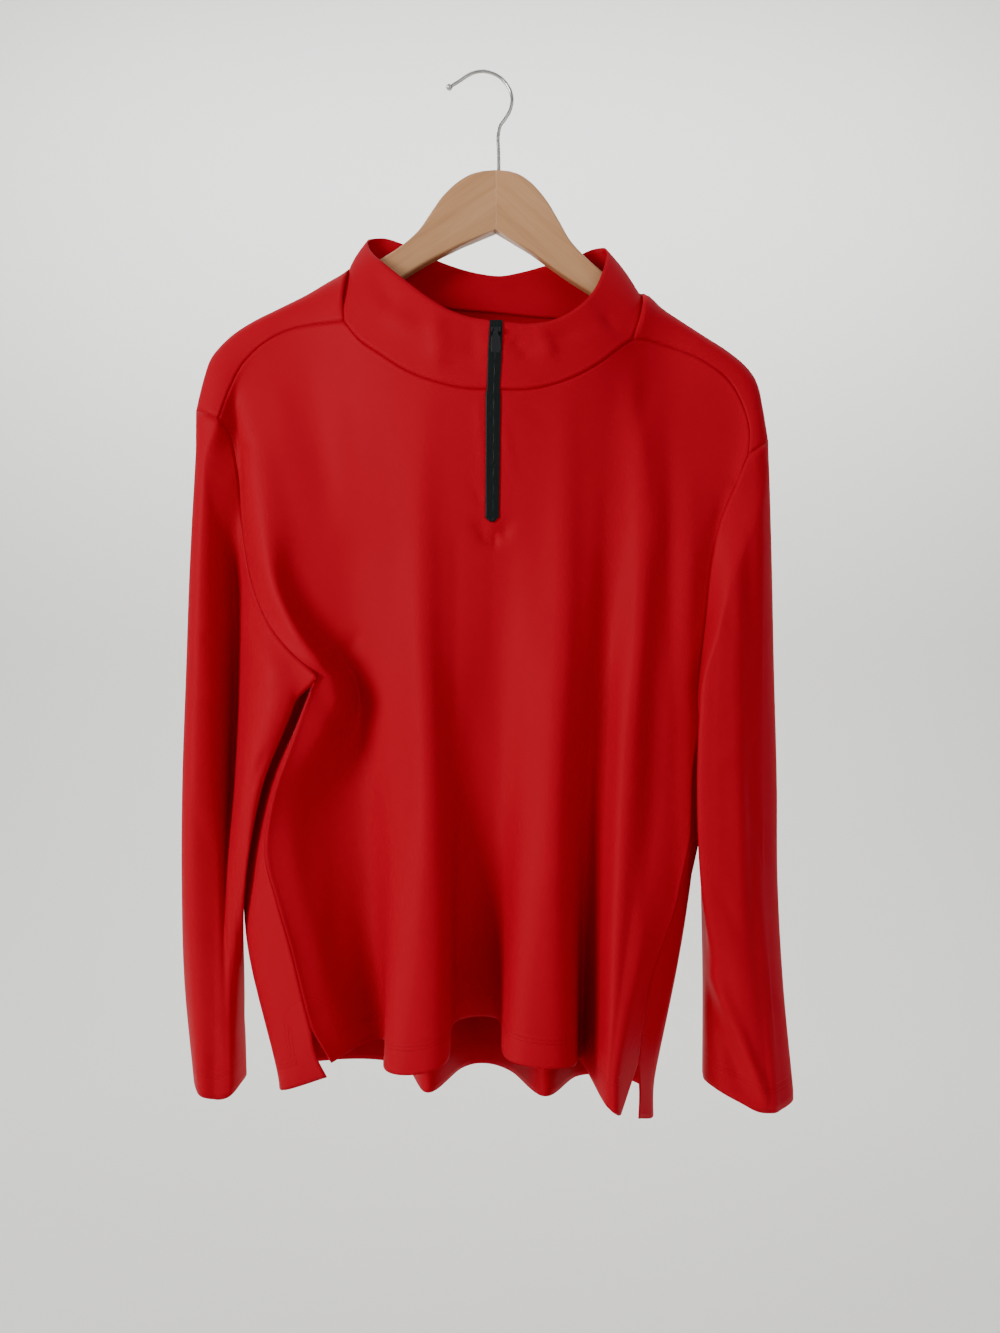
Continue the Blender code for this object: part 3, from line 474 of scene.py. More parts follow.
# %% Fold lines of the back
BACK_HEIGHTS = (-400, -480, -525, -620, -740, -870)
BACK = [
    # fold line     chest      armhole    underarm    waist       hips        hem         hem z
    ("side_left",   -203, 17,  -178, -1,  -132, -72,  -169, -66,  -158, -56,  -129, -49,  -857),
    ("left",        -190, 20,  -168, 12,  -140, -46,  -182, -43,  -193, -38,  -169, -38,  -872),
    ("left_back",   -165, 24,  -155, 22,  -156, -10,  -193, -12,  -199, -9,   -164, 4,    -868),
    ("neck_left",   -128, 26,  -128, 26,  -128, 22,   -138, 24,   -130, 24,   -112, 20,   -868),
    ("lobe1_left",  -90, 24,   -90, 23,   -92, 22,    -95, 21,    -84, 18,    -70, 6,     -869),
    ("lobe1",       -50, 21,   -50, 18,   -49, 14,    -48, 6,     -47, -16,   -46, -44,   -872),
    ("lobe1_right", -15, 24,   -14, 24,   -13, 24,    -12, 23,    -16, 18,    -20, 6,     -871),
    ("centre",      15, 26,    13, 27,    12, 28,     10, 28,     6, 26,      1, 20,      -872),
    ("lobe2_left",  50, 24,    46, 23,    41, 21,     35, 19,     28, 14,     24, 4,      -873),
    ("lobe2",       85, 21,    77, 17,    70, 13,     61, 6,      55, -16,    51, -44,    -875),
    ("lobe2_right", 118, 24,   110, 24,   102, 23,    92, 21,     86, 14,     80, 0,      -876),
    ("neck_right",  148, 26,   143, 26,   136, 25,    126, 25,    115, 20,    106, 8,     -878),
    ("right_back",  182, 25,   174, 24,   166, 18,    166, 13,    154, 10,    138, 6,     -886),
    ("right",       205, 21,   190, 16,   176, 0,     182, -17,   171, -21,   143, -31,   -896),
    ("side_right",  213, 17,   200, 8,    182, -26,   171, -42,   150, -55,   128, -52,   -890),
]
BACK_NECK = (3, 11)              # the fold lines where the shoulders' tops meet the neck
print(len(BACK), "fold lines on the back")

# %% [markdown]
# ## The folds of the sleeves
#
# A sleeve is a closed tube. Its fold lines start at the shoulder seam, go down the front
# of the armhole, under the arm and up its back, and each has a place at seven heights. A
# round tube would look as if an arm were in it. With its folds stated it hangs empty.

# %% Fold lines of the sleeves
SLEEVE_HEIGHTS = (-330, -430, -520, -620, -700, -790, -880)
LEFT_SLEEVE = [
    ("strip", -240, -17, -244, -19, -246, -22, -248, -26, -248, -31, -244, -35, -238, -37, -876),
    ("lip", -231, -14, -231, -13, -230, -16, -228, -19, -226, -27, -224, -36, -224, -38, -880),
    ("cleft", -221, -8, -220, 6, -219, 8, -221, 3, -220, -20, -217, -35, -215, -38, -879),
    ("cleft_wall", -213, -8, -208, -6, -208, -10, -213, -14, -215, -30, -212, -34, -210, -35, -876),
    ("bulge", -200, -20, -190, -36, -176, -62, -193, -60, -205, -42, -208, -27, -207, -23, -873),
    ("inner", -190, -10, -165, -36, -147, -62, -181, -60, -198, -44, -207, -10, -206, -6, -872),
    ("inner_wall", -195, 4, -180, -9, -169, -26, -200, -36, -212, -22, -213, 5, -211, 8, -872),
    ("inner_back", -205, 16, -201, 18, -197, 18, -211, 14, -218, 16, -218, 20, -217, 21, -872),
    ("outer_back", -236, 12, -238, 17, -240, 20, -243, 20, -245, 22, -243, 26, -236, 27, -872),
    ("outer", -250, -2, -255, -2, -258, -2, -261, -3, -261, -4, -260, 0, -252, 4, -872),
]
RIGHT_SLEEVE = [
    ("strip", 238, -22, 236, -30, 234, -34, 234, -36, 234, -38, 240, -38, 246, -42, -888),
    ("lip", 228, -26, 220, -40, 216, -46, 216, -48, 220, -48, 228, -46, 236, -46, -888),
    ("front_ridge", 217, -28, 206, -44, 203, -53, 204, -55, 209, -54, 218, -50, 226, -47, -886),
    ("front_turn", 209, -28, 197, -46, 192, -55, 189, -58, 193, -57, 208, -50, 214, -46, -880),
    ("front_edge", 203, -28, 190, -43, 181, -52, 176, -55, 180, -53, 196, -44, 198, -42, -872),
    ("inner", 200, -24, 189, -33, 184, -35, 185, -36, 186, -34, 189, -30, 188, -30, -868),
    ("inner_wall", 202, -5, 195, -8, 190, -10, 188, -12, 188, -14, 190, -11, 189, -12, -870),
    ("inner_back", 207, 14, 204, 16, 199, 14, 195, 10, 194, 6, 196, 8, 196, 6, -872),
    ("outer_back", 228, 14, 230, 18, 229, 20, 228, 20, 228, 20, 230, 20, 232, 16, -884),
    ("outer", 246, -4, 249, -4, 251, -4, 253, -6, 253, -8, 257, -10, 264, -16, -886),
]
SLEEVE = dict(left=LEFT_SLEEVE, right=RIGHT_SLEEVE)
SLEEVE_UNDERARM = 5              # the fold line that starts at the underarm
SLEEVE_TOP = 9                   # the fold line that starts at the top of the shoulder
print(len(LEFT_SLEEVE), "and", len(RIGHT_SLEEVE), "fold lines round the sleeves")

# %% [markdown]
# ## From fold lines to a sheet of points
#
# A panel is a grid. Its rows go from the shoulders to the hem and its columns follow the
# fold lines. Each point takes its height from the four edges and its place from the fold
# lines at that height; near an edge it is drawn onto the seam, so that panels meet there.
# A subdivided cage of a few faces would be quicker to draw, but it leaves its edges.

# %% How fine the grids are
FINER = 5                        # rows here for each row of the CAD model
COLUMNS_PER_FOLD = 12            # columns from one fold line to the next
ARM_ROWS, SIDE_ROWS, VENT_ROWS = 12 * FINER, 9 * FINER, 2 * FINER   # down a body panel's side
FLAP_ROWS, ZIP_ROWS = 3 * FINER, 5 * FINER       # over the shoulder; down the zip on the front
SLEEVE_ROWS, COLLAR_ROWS = 16 * FINER, 16
BACK_ARM = [0, 0.012, 0.04, *np.linspace(0.09, 1, 10)]  # shares of the back armhole, by CAD row
ZIP_X, ZIP_WIDTH = 8.5 * MM, 11 * MM             # the zip's middle and width on the neckline
print("rows:", ARM_ROWS, "by the armhole,", SIDE_ROWS, "by the side seam and", VENT_ROWS,
      "by the vent")

# %% Tables and the sheet on them
def fold_table(rows, heights):
    """The table's x and y as an array [fold line, height, 2], lowest height first, and hem z."""
    places = np.array([row[1:-1] for row in rows], float).reshape(len(rows), len(heights), 2)
    return places[:, ::-1] * MM, np.array([row[-1] for row in rows], float) * MM


def on_folds(places, heights, line, z):
    """(x, y, z) of the sheet at fold-line number `line` and height `z`.

    Smooth curves run through the fold lines at each height, then through the heights.
    """
    across = np.tensordot(weights(np.arange(len(places)), line), places, axes=(-1, 0))
    down = weights(np.array(heights[::-1], float) * MM, z)
    xy = np.einsum("...h,...hk->...k", down, across)
    return np.concatenate([xy, z[..., None]], axis=-1)


def fade(t, reach):
    """From 1 at t = 0 to 0 at t = reach, level at both ends."""
    t = np.clip(t / reach, 0, 1)
    return 1 - t * t * (3 - 2 * t)


def round_over(t, reach):
    """From 1 at t = 0 to 0 at t = reach along a quarter circle that drops at once."""
    t = np.clip(t / reach, 0, 1)
    return 1 - np.sqrt(1 - (1 - t) ** 2)


print("a fade's half way is at", fade(0.5, 1.0), "and a round one's at", round_over(0.5, 1.0))

# %% A body panel
# How far an edge's own shape reaches into a panel: in shares of its height, and in fold lines
HEIGHT_REACH, FRONT_REACH, BACK_REACH, BACK_DEPTH_REACH = 0.42, 0.24, 0.3, 0.10
SIDE_REACH = 1.0


def panel(rows, heights, top, left, right, top_fade):
    """A body panel, as points [row, column, 3].

    Heights are blended between the four edges, and the top edge's ups and downs fade out on
    the way to the hem. Each place is then read from the fold lines, and what the top and
    the sides differ by from them fades out into the panel.
    """
    places, hem_z = fold_table(rows, heights)
    columns = np.linspace(0, len(rows) - 1, len(top))
    across = columns / columns[-1]
    down = ((left[:, 2] - left[0, 2]) / (left[-1, 2] - left[0, 2])
            + (right[:, 2] - right[0, 2]) / (right[-1, 2] - right[0, 2])) / 2
    hem = weights(np.arange(len(rows)), columns) @ hem_z
    v, s = down[:, None], across[None, :]
    level = top[0, 2] + (top[-1, 2] - top[0, 2]) * s
    z = (1 - v) * level + v * hem[None, :] + (top[None, :, 2] - level) * fade(v, HEIGHT_REACH)
    z = z + (1 - s) * (left[:, 2:3] - z[:, :1]) + s * (right[:, 2:3] - z[:, -1:])
    line = np.broadcast_to(columns[None, :], z.shape)
    sheet = on_folds(places, heights, line, z)
    sheet = sheet + (top[None] - sheet[:1]) * top_fade(v)
    sheet = sheet + (left[:, None] - sheet[:, :1]) * fade(line, SIDE_REACH)[..., None]
    from_right = columns[-1] - line
    return sheet + (right[:, None] - sheet[:, -1:]) * fade(from_right, SIDE_REACH)[..., None]


def front_fade(v):
    """How the front leaves its top edge: evenly, over the upper chest."""
    return fade(v, FRONT_REACH)[..., None]


def back_fade(v):
    """How the back leaves the shoulders' top: at once to the back of the hanger."""
    evenly = fade(v, BACK_REACH)
    return np.stack([evenly, round_over(v, BACK_DEPTH_REACH), evenly], axis=-1)


print("a top edge's shape is gone at", FRONT_REACH, "of the front and", BACK_REACH, "of the back")

# %% [markdown]
# ## Creases laid on as strokes
#
# The fold lines give the large shape. What makes cloth look like cloth are the small
# things on top: a soft pull from the underarm, puckers beside a zip, a hollow where the
# sleeve is set in. Each is a short stroke on the panel, a ridge or a trough with soft
# ends, and it moves the points along the surface's own direction. The hidden sides get
# strokes of the same kind, so that the pullover looks used from all round. A sculpting
# brush does the same by hand, but a list of strokes gives the same cloth at every run.

# %% Strokes that raise or sink the cloth
def facing(sheet, outward):
    """Unit direction of the surface at each grid point, from its slopes both ways."""
    down = np.gradient(sheet, axis=0)
    across = np.gradient(sheet, axis=1)
    return unit(np.cross(down, across) * outward)


def eased(sheet, rounds):
    """Inner points moved half way to the mean of their four neighbours, `rounds` times."""
    for _ in range(rounds):
        middle = (sheet[:-2, 1:-1] + sheet[2:, 1:-1] + sheet[1:-1, :-2] + sheet[1:-1, 2:]) / 4
        sheet = sheet.copy()
        sheet[1:-1, 1:-1] = 0.5 * sheet[1:-1, 1:-1] + 0.5 * middle
    return sheet


def stroked(sheet, strokes, outward, side=0):
    """Strokes (x, z, x, z, half width, height) in mm, seen from the front, laid on the sheet.

    Height times exp(-(distance / half width)^2), in the surface's own direction. Along the
    stroke it also swells, 0.35 + 0.65 sin(pi t)^0.7, with a ripple of 0.14 that differs from
    stroke to stroke. The sheet's edges stay. With side -1 or 1 only what faces the front or
    the back is moved, and less of it where it turns away.
    """
    out = facing(sheet, outward)
    place = sheet[..., [0, 2]]
    rise = np.zeros(sheet.shape[:2])
    for number, (x0, z0, x1, z1, half_width, height) in enumerate(strokes):
        start, way = np.array([x0, z0]) * MM, np.array([x1 - x0, z1 - z0]) * MM
        t = ((place - start) @ way) / (way @ way)
        inside = np.clip(t, 0, 1)
        distance = np.linalg.norm(place - start - inside[..., None] * way, axis=-1)
        swell = (0.35 + 0.65 * np.sin(np.pi * inside) ** 0.7
                 + 0.14 * np.sin(9 * inside + 2 * number))
        rise += height * MM * swell * np.exp(-(distance / (half_width * MM)) ** 2)
    if side:
        rise *= np.clip(out[..., 1] * side * 2.5, 0, 1)
    edge = np.ones(rise.shape)
    edge[[0, -1]] = 0
    edge[:, [0, -1]] = 0
    return sheet + out * (rise * edge)[..., None]


FRONT_STROKES = [
    (-5, -399, 3, -412, 6, -2.6), (3, -413, 14, -413, 6, -2.8), (14, -412, 21, -399, 6, -2.4),
    (-4, -300, 1, -357, 4, 0.8), (-11, -364, 0, -387, 4, -0.9), (16, -316, 24, -357, 4, 0.7),
    (-204, -326, -202, -341, 7, -2.0), (216, -357, 215, -370, 6, -2.0),
    (215, -370, 196, -406, 8, -1.4), (30, -300, 63, -326, 8, -0.9),
    (135, -779, 152, -788, 4, -1.5), (130, -791, 147, -799, 4, 1.2),
    (-130, -523, -106, -493, 7, -2.0), (-132, -541, -107, -582, 9, -2.0),
    (-113, -431, -101, -824, 20, -3.4), (-97, -619, -96, -828, 13, -2.6),
    (19, -414, 22, -677, 14, -1.8), (103, -382, 99, -726, 9, -2.0),
    (157, -324, 160, -709, 8, -1.6), (-175, -283, -150, -398, 11, 1.3),
    (-150, -267, -124, -398, 11, -1.3), (141, -271, 129, -324, 8, -1.0),
    (-48, -300, -43, -677, 12, 1.8), (-22, -414, -25, -775, 6, -1.1),
    (66, -283, 69, -677, 11, 1.8), (131, -316, 124, -775, 8, 1.5), (173, -357, 168, -677, 8, 1.0),
    (-134, -628, -135, -791, 9, 1.0),
]
BACK_STROKES = [
    (-200, -330, -120, -470, 16, -1.8), (-170, -360, -60, -420, 12, 1.3),
    (150, -340, 190, -480, 14, -1.6), (60, -260, 40, -420, 16, 1.3),
    (-60, -260, -40, -400, 14, -1.3), (0, -300, 10, -560, 20, 1.1),
    (-110, -560, -60, -700, 14, 1.5), (110, -560, 70, -700, 14, -1.5),
    (150, -600, 100, -680, 9, 1.3), (-150, -620, -90, -560, 10, -1.4),
    (-60, -420, 60, -445, 16, -1.2), (-40, -640, 30, -655, 14, 1.0),
    (100, -420, 150, -560, 12, 1.2), (-130, -440, -120, -600, 12, 1.2),
]
COLLAR_STROKES = [
    (25, -250, 38, -265, 6, -2.0), (47, -244, 56, -265, 7, 2.6), (56, -247, 87, -237, 7, -1.6),
    (-40, -229, -35, -262, 9, 3.2), (-10, -237, -7, -267, 8, -1.6), (-84, -219, -51, -244, 8, 1.5),
    (-35, -268, -2, -273, 5, -1.3), (-90, -189, -74, -219, 7, -1.4),
    (99, -219, 113, -237, 6, -1.4),
]
SLEEVE_STROKES = dict(
    left=[(-241, -496, -221, -504, 7, -1.1), (-241, -546, -222, -540, 7, 0.9),
          (-239, -800, -207, -830, 8, 1.1), (-232, -740, -207, -767, 7, -1.1),
          (-155, -496, -187, -462, 7, -1.2), (-162, -514, -193, -550, 7, 1.1),
          (-174, -586, -190, -618, 5, -2.2), (-190, -618, -205, -692, 5, -2.2),
          (-235, -842, -209, -852, 6, -0.9), (-248, -631, -232, -681, 7, -0.8),
          (-183, -428, -197, -496, 7, -1.0)],
    right=[(190, -768, 234, -878, 5, 4.2), (184, -790, 219, -876, 7, -4.0),
           (221, -396, 228, -546, 8, -1.0), (191, -696, 211, -738, 7, -1.3),
           (186, -546, 210, -563, 7, -1.0), (188, -598, 213, -584, 7, 0.9),
           (218, -613, 234, -680, 7, -0.9), (209, -438, 213, -738, 9, 3.0),
           (227, -746, 243, -830, 8, -1.0), (194, -454, 208, -496, 7, -0.8)])
SLEEVE_BACK_STROKES = dict(
    left=[(-240, -400, -205, -460, 12, -1.5), (-245, -560, -205, -540, 9, 1.2),
          (-240, -640, -205, -660, 9, -1.3), (-235, -720, -205, -700, 8, 1.1),
          (-230, -800, -205, -830, 9, -1.2)],
    right=[(240, -420, 205, -480, 12, -1.5), (240, -560, 200, -545, 9, 1.2),
           (240, -650, 200, -672, 9, -1.3), (242, -740, 200, -720, 8, 1.1),
           (245, -810, 205, -840, 9, -1.2)])
print(len(FRONT_STROKES), "strokes on the front,", len(BACK_STROKES), "on the back")

# %% [markdown]
# ## Shoulders, sleeves and collar
#
# The cloth turns over the hanger at the top of the shoulder: that strip is a quarter of
# an ellipse at every column. A sleeve starts as the ring of the armhole and fades into its
# own fold lines. The collar is a band from its top edge down to the neckline. All of them
# start from points that the neighbours have too, which parts modelled apart would not.

# %% The strip over the shoulder and the sleeve
SLEEVE_REACH = 0.065             # share of a sleeve over which the armhole's ring fades out


def shoulder_flap(ridge, seam):
    """From the shoulder's top forward to the seam: quarter ellipses over the hanger.

    Each goes 1 - cos a of the way sideways and down and sin a of the way forward, with a
    from 0 to a quarter turn.
    """
    turn = np.linspace(0, np.pi / 2, FLAP_ROWS + 1)[:, None, None]
    share = np.concatenate([1 - np.cos(turn), np.sin(turn), 1 - np.cos(turn)], axis=-1)
    return ridge + (seam - ridge) * share


def ring_again(ring):
    """A closed ring of fold lines with its last two again in front and its first three behind."""
    return np.concatenate([ring[-2:], ring, ring[:3]])


def sleeve(rows, armhole, lines):
    """A sleeve, as points [row, column, 3], from the armhole's ring down to the cuff.

    Heights go evenly from the ring to the cuff, and each place is read from the fold lines.
    """
    places, cuff_z = fold_table(rows, SLEEVE_HEIGHTS)
    cuff = weights(np.arange(-2, len(rows) + 3), lines) @ ring_again(cuff_z)
    v = shares(SLEEVE_ROWS)[:, None]
    z = (1 - v) * armhole[None, :, 2] + v * cuff[None, :]
    line = np.broadcast_to(lines[None, :], z.shape)
    sheet = on_folds(ring_again(places), SLEEVE_HEIGHTS, line + 2, z)
    return sheet + (armhole[None] - sheet[:1]) * fade(v, SLEEVE_REACH)[..., None]


print("a sleeve is", SLEEVE_ROWS, "rows long")

# %% The collar, with a slight bow
COLLAR_BOW = 2.2 * MM
NECK_MIDDLE = np.array([9 * MM, -20 * MM, 0])   # what the bow points away from
AT_ZIP = 6                       # the point of the collar's front top edge in the zip's middle


def collar_band(neckline):
    """The standing collar: straight from its top edge to the neckline, bowed out by sin(pi t)."""
    top_loop = np.array(COLLAR_TOP_FRONT[AT_ZIP:] + COLLAR_TOP_BACK[::-1]
                        + COLLAR_TOP_FRONT[:AT_ZIP + 1], float)
    reach = run_along(neckline)
    top = along(top_loop, reach / reach[-1])
    start = np.array(COLLAR_TOP_FRONT[AT_ZIP]) * MM
    half_zip = (neckline[0] - neckline[-1 - COLUMNS_PER_FOLD]) / 2
    top[[0, -1]] = start + half_zip
    top[-1 - COLUMNS_PER_FOLD:] = np.linspace(start - half_zip, start + half_zip,
                                              COLUMNS_PER_FOLD + 1)
    t = shares(COLLAR_ROWS)[:, None, None]
    band = (1 - t) * top[None] + t * neckline[None]
    away = unit((neckline - NECK_MIDDLE) * (1, 1, 0))
    return band + away[None] * COLLAR_BOW * np.sin(np.pi * t)


print("collar bow", COLLAR_BOW)

# %% The edges that panels share
def neck_places():
    """Fractions of the front neckline at the columns, the zip's edges among them."""
    fine = np.linspace(0, 1, 500)                # close enough to find the zip's edges in
    run = along(NECK_FRONT, fine)[:, 0]
    edges = [0, *np.interp([ZIP_X - ZIP_WIDTH / 2, ZIP_X + ZIP_WIDTH / 2], run, fine), 1]
    numbers = np.array([FRONT_NECK[0], *FRONT_ZIP, FRONT_NECK[1]]) - FRONT_NECK[0]
    columns = np.arange(COLUMNS_PER_FOLD * numbers[-1] + 1)
    return np.interp(columns, numbers * COLUMNS_PER_FOLD, edges)


def side_edges(side):
    """The edges on one side: armhole, side seam, vent and shoulder, and the armhole's ring."""
    arm_front = along(ARM_FRONT[side], shares(ARM_ROWS))
    rows = np.linspace(0, len(BACK_ARM) - 1, ARM_ROWS + 1)
    arm_back = along(ARM_BACK[side], np.interp(rows, range(len(BACK_ARM)), BACK_ARM))
    arm_back[-1] = arm_front[-1]
    seam = along(SIDE[side], shares(SIDE_ROWS))
    vent_front, vent_back = (along(vent[side], shares(VENT_ROWS))
                             for vent in (VENT_FRONT, VENT_BACK))
    ridge, shoulder = (along(line[side], shares(COLUMNS_PER_FOLD * FRONT_NECK[0]))
                       for line in (RIDGE, SHOULDER))
    flap = shoulder_flap(ridge, shoulder)
    flap[:, 0] = along(NECK_SIDE[side][::-1], shares(FLAP_ROWS))
    return dict(arm_front=arm_front, arm_back=arm_back, seam=seam, ridge=ridge,
                shoulder=shoulder, flap=flap, vent_front=vent_front, vent_back=vent_back,
                front=join(arm_front, seam, vent_front), back=join(arm_back, seam, vent_back),
                armhole=join(arm_front, arm_back[::-1], flap[:, -1]))


edges = {side: side_edges(side) for side in ("left", "right")}
neck_front = along(NECK_FRONT, neck_places())
neck_back = along(NECK_BACK, shares(COLUMNS_PER_FOLD * (BACK_NECK[1] - BACK_NECK[0])))
print("armhole ring of", len(edges["left"]["armhole"]), "points")

# %% The sheets of every panel
def leaned(points):
    """The body's right side, below the underarm, leant out sideways until the sleeve hides it.

    In mm: 4.2 from z = -560 down to -660, none at -535 and -695, and 1.2 more round -572;
    none of it at x = 140, all of it from x = 175.
    """
    x, z = points[..., 0] / MM, points[..., 2] / MM
    level = np.clip((-535 - z) / 25, 0, 1) * np.clip((z + 695) / 35, 0, 1)
    lean = (4.2 * level + 1.2 * np.exp(-((z + 572) / 20) ** 2)) * (1 - fade(x - 140, 35))
    return points + lean[..., None] * (MM, 0, 0)


EASING_ROUNDS = 10
left, right = edges["left"], edges["right"]
front = panel(FRONT, FRONT_HEIGHTS, join(left["shoulder"][::-1], neck_front, right["shoulder"]),
              left["front"], right["front"], front_fade)
front = leaned(stroked(eased(front, EASING_ROUNDS), FRONT_STROKES, 1))
back = panel(BACK, BACK_HEIGHTS, join(left["ridge"][::-1], neck_back, right["ridge"]),
             left["back"], right["back"], back_fade)
back = leaned(stroked(eased(back, EASING_ROUNDS), BACK_STROKES, -1))
right["seam"] = leaned(right["seam"])

# The armhole's ring goes down its front to the underarm, up its back and over the shoulder.
# Each of its points gets the sleeve's fold line below it, in steps between known pairs.
lines = np.interp(np.arange(2 * ARM_ROWS + FLAP_ROWS + 1),
                  [0, ARM_ROWS, ARM_ROWS * 4 / 3, 2 * ARM_ROWS, 2 * ARM_ROWS + FLAP_ROWS],
                  [0, SLEEVE_UNDERARM, SLEEVE_UNDERARM + 2, SLEEVE_TOP, SLEEVE_TOP + 1])
sleeves = {}
for side, outward in (("left", 1), ("right", -1)):
    hung = sleeve(SLEEVE[side], edges[side]["armhole"], lines)
    hung = stroked(hung, SLEEVE_STROKES[side], outward, -1)
    sleeves[side] = stroked(hung, SLEEVE_BACK_STROKES[side], outward, 1)

zip_left, zip_right = (COLUMNS_PER_FOLD * number for number in FRONT_ZIP)
first = COLUMNS_PER_FOLD * FRONT_NECK[0]
neckline = join(neck_front[zip_right - first:], right["flap"][::-1, 0], neck_back[::-1],
                left["flap"][:, 0], neck_front[:zip_right - first + 1])
collar = stroked(collar_band(neckline), COLLAR_STROKES, 1, -1)
for name, sheet in (("front", front), ("back", back), ("collar", collar), *sleeves.items()):
    print(name, "sheet of", sheet.shape[0], "x", sheet.shape[1], "points")

# %% [markdown]
# ## From sheets to cloth with two faces
#
# Jersey is about a millimetre thick. Every sheet is moved out and in by half of that,
# along directions that neighbouring panels share at their seam, so the seam stays closed.
# The Solidify modifier can do this for one sheet, but it doesn't know its neighbours.
# Each point also keeps three numbers for the finish: how far it is from the nearest seam,
# how far from the cloth's edge, and how far along that edge.

# %% Faces of a sheet and directions shared at the seams
CLOTH = 1.0 * MM
COLLAR_CLOTH = 1.7 * MM          # two layers of jersey
SAME_POINT = 1e-6                # metres; points that differ by less are one
UNDERARM_OUT = dict(             # outwards where four walls meet, which no mean gives well
    left=(0.2, -0.54, -0.82), right=(-0.09, -0.24, -0.97))


def quads(sheet, flip=False):
    """The sheet's four-sided faces as corner points [face, 4, 3]."""
    corners = np.stack([sheet[:-1, :-1], sheet[1:, :-1], sheet[1:, 1:], sheet[:-1, 1:]], axis=2)
    corners = corners.reshape(-1, 4, 3)
    return corners[:, ::-1] if flip else corners


def numbered(points):
    """A number for each point, the same for equal ones, and the first index of each number."""
    key = np.round(points / SAME_POINT).astype(np.int64)
    _, first_of, number = np.unique(key, axis=0, return_index=True, return_inverse=True)
    return first_of, number.reshape(-1)


def shared_directions(pieces, underarms):
    """Outward direction at every corner: the mean over the pieces that meet there.

    A piece's own direction is the sum over its faces of the cross product of their diagonals.
    """
    corners = {name: faces.reshape(-1, 3) for name, faces in pieces.items()}
    first_of, number = numbered(np.concatenate([np.reshape(list(underarms.values()), (-1, 3)),
                                                *corners.values()]))
    total = np.zeros((len(first_of), 3))
    numbers, start = {}, len(underarms)
    for name, faces in pieces.items():
        numbers[name] = number[start:start + len(corners[name])]
        start += len(corners[name])
        own = np.zeros_like(total)
        turned = np.cross(faces[:, 2] - faces[:, 0], faces[:, 3] - faces[:, 1])
        np.add.at(own, numbers[name], np.repeat(turned, 4, axis=0))
        total += unit(own)
    total = unit(total)
    for k, side in enumerate(underarms):
        total[number[k]] = UNDERARM_OUT[side]
    return {name: total[numbers[name]] for name in pieces}


print("the front has", len(quads(front)), "four-sided faces")

# %% The pieces, and the lines that are sewn
pieces = {
    "front_body": quads(front),
    "back_body": np.concatenate([quads(back, True), quads(left["flap"], True),
                                 quads(right["flap"])]),
    "left_sleeve": quads(sleeves["left"]),
    "right_sleeve": quads(sleeves["right"], True),
    "stand_collar": quads(collar),
}
directions = shared_directions(pieces, {side: edges[side]["armhole"][ARM_ROWS] for side in edges})
STEP = 1.2 * MM                  # between the samples of a sewn line
AT_ONCE = 4000                   # points compared with the samples at a time, to save memory


def sampled(line):
    """A line cut into equal steps: its points, and how far along it each one is."""
    run = run_along(line)
    at = np.linspace(0, run[-1], max(int(run[-1] / STEP), 2))
    return np.stack([np.interp(at, run, line[:, k]) for k in range(3)], axis=1), at


def nearest(points, lines):
    """Distance from each point to the nearest sample of the lines, and its run along the line."""
    cut = [sampled(line) for line in lines]
    samples, runs = np.concatenate([c[0] for c in cut]), np.concatenate([c[1] for c in cut])
    distance, run = np.empty(len(points)), np.empty(len(points))
    for start in range(0, len(points), AT_ONCE):
        now = slice(start, start + AT_ONCE)
        some = points[now]
        square = (some ** 2).sum(1)[:, None] + (samples ** 2).sum(1) - 2 * some @ samples.T
        best = square.argmin(axis=1)
        distance[now] = np.sqrt(np.maximum(square[np.arange(len(some)), best], 0))
        run[now] = runs[best]
    return distance, run


SEAMS = [edges[side][line] for side in edges
         for line in ("arm_front", "arm_back", "seam", "shoulder")]
SEAMS.append(neckline[:-COLUMNS_PER_FOLD])       # all of it but the part under the zip
print(len(SEAMS), "seams,", round(sum(sampled(seam)[1][-1] for seam in SEAMS), 2), "m in all")

# %% A closed wall of cloth
def cloth_wall(name, faces, direction, thick, hems):
    """The sheet moved out and in by half its thickness, closed round its edges.

    Each four-sided face is parted along its shorter diagonal, the same way on both sides. An
    edge that only one face has is on the rim, and gets a narrow wall.
    """
    first_of, number = numbered(faces.reshape(-1, 3))
    points, out = faces.reshape(-1, 3)[first_of], direction[first_of]
    quad = number.reshape(-1, 4)
    start, end = quad.reshape(-1), np.roll(quad, -1, axis=1).reshape(-1)
    size = len(points)
    there, back_again = start * size + end, end * size + start
    rim = ~np.isin(there, back_again)
    a, b = start[rim], end[rim]
    corner = points[quad]
    first_way = (np.linalg.norm(corner[:, 0] - corner[:, 2], axis=1)
                 <= np.linalg.norm(corner[:, 1] - corner[:, 3], axis=1))[:, None]
    halves = np.concatenate([np.where(first_way, quad[:, [0, 1, 2]], quad[:, [0, 1, 3]]),
                             np.where(first_way, quad[:, [0, 2, 3]], quad[:, [1, 2, 3]])])
    around = np.stack([b, a, a + size, b + size], axis=1)
    walls = np.concatenate([around[:, [0, 1, 2]], around[:, [0, 2, 3]]])
    vertices = np.concatenate([points + out * thick / 2, points - out * thick / 2])
    made = mesh_object(name, vertices, np.concatenate([halves, halves[:, ::-1] + size, walls]))
    seam, _ = nearest(points, SEAMS)
    hem, hem_run = nearest(points, hems)
    for label, values in (("seam", seam), ("hem", hem), ("hem_run", hem_run)):
        layer = made.data.attributes.new(label, "FLOAT", "POINT")
        layer.data.foreach_set("value", np.tile(values, 2).astype(np.float32))
    return made


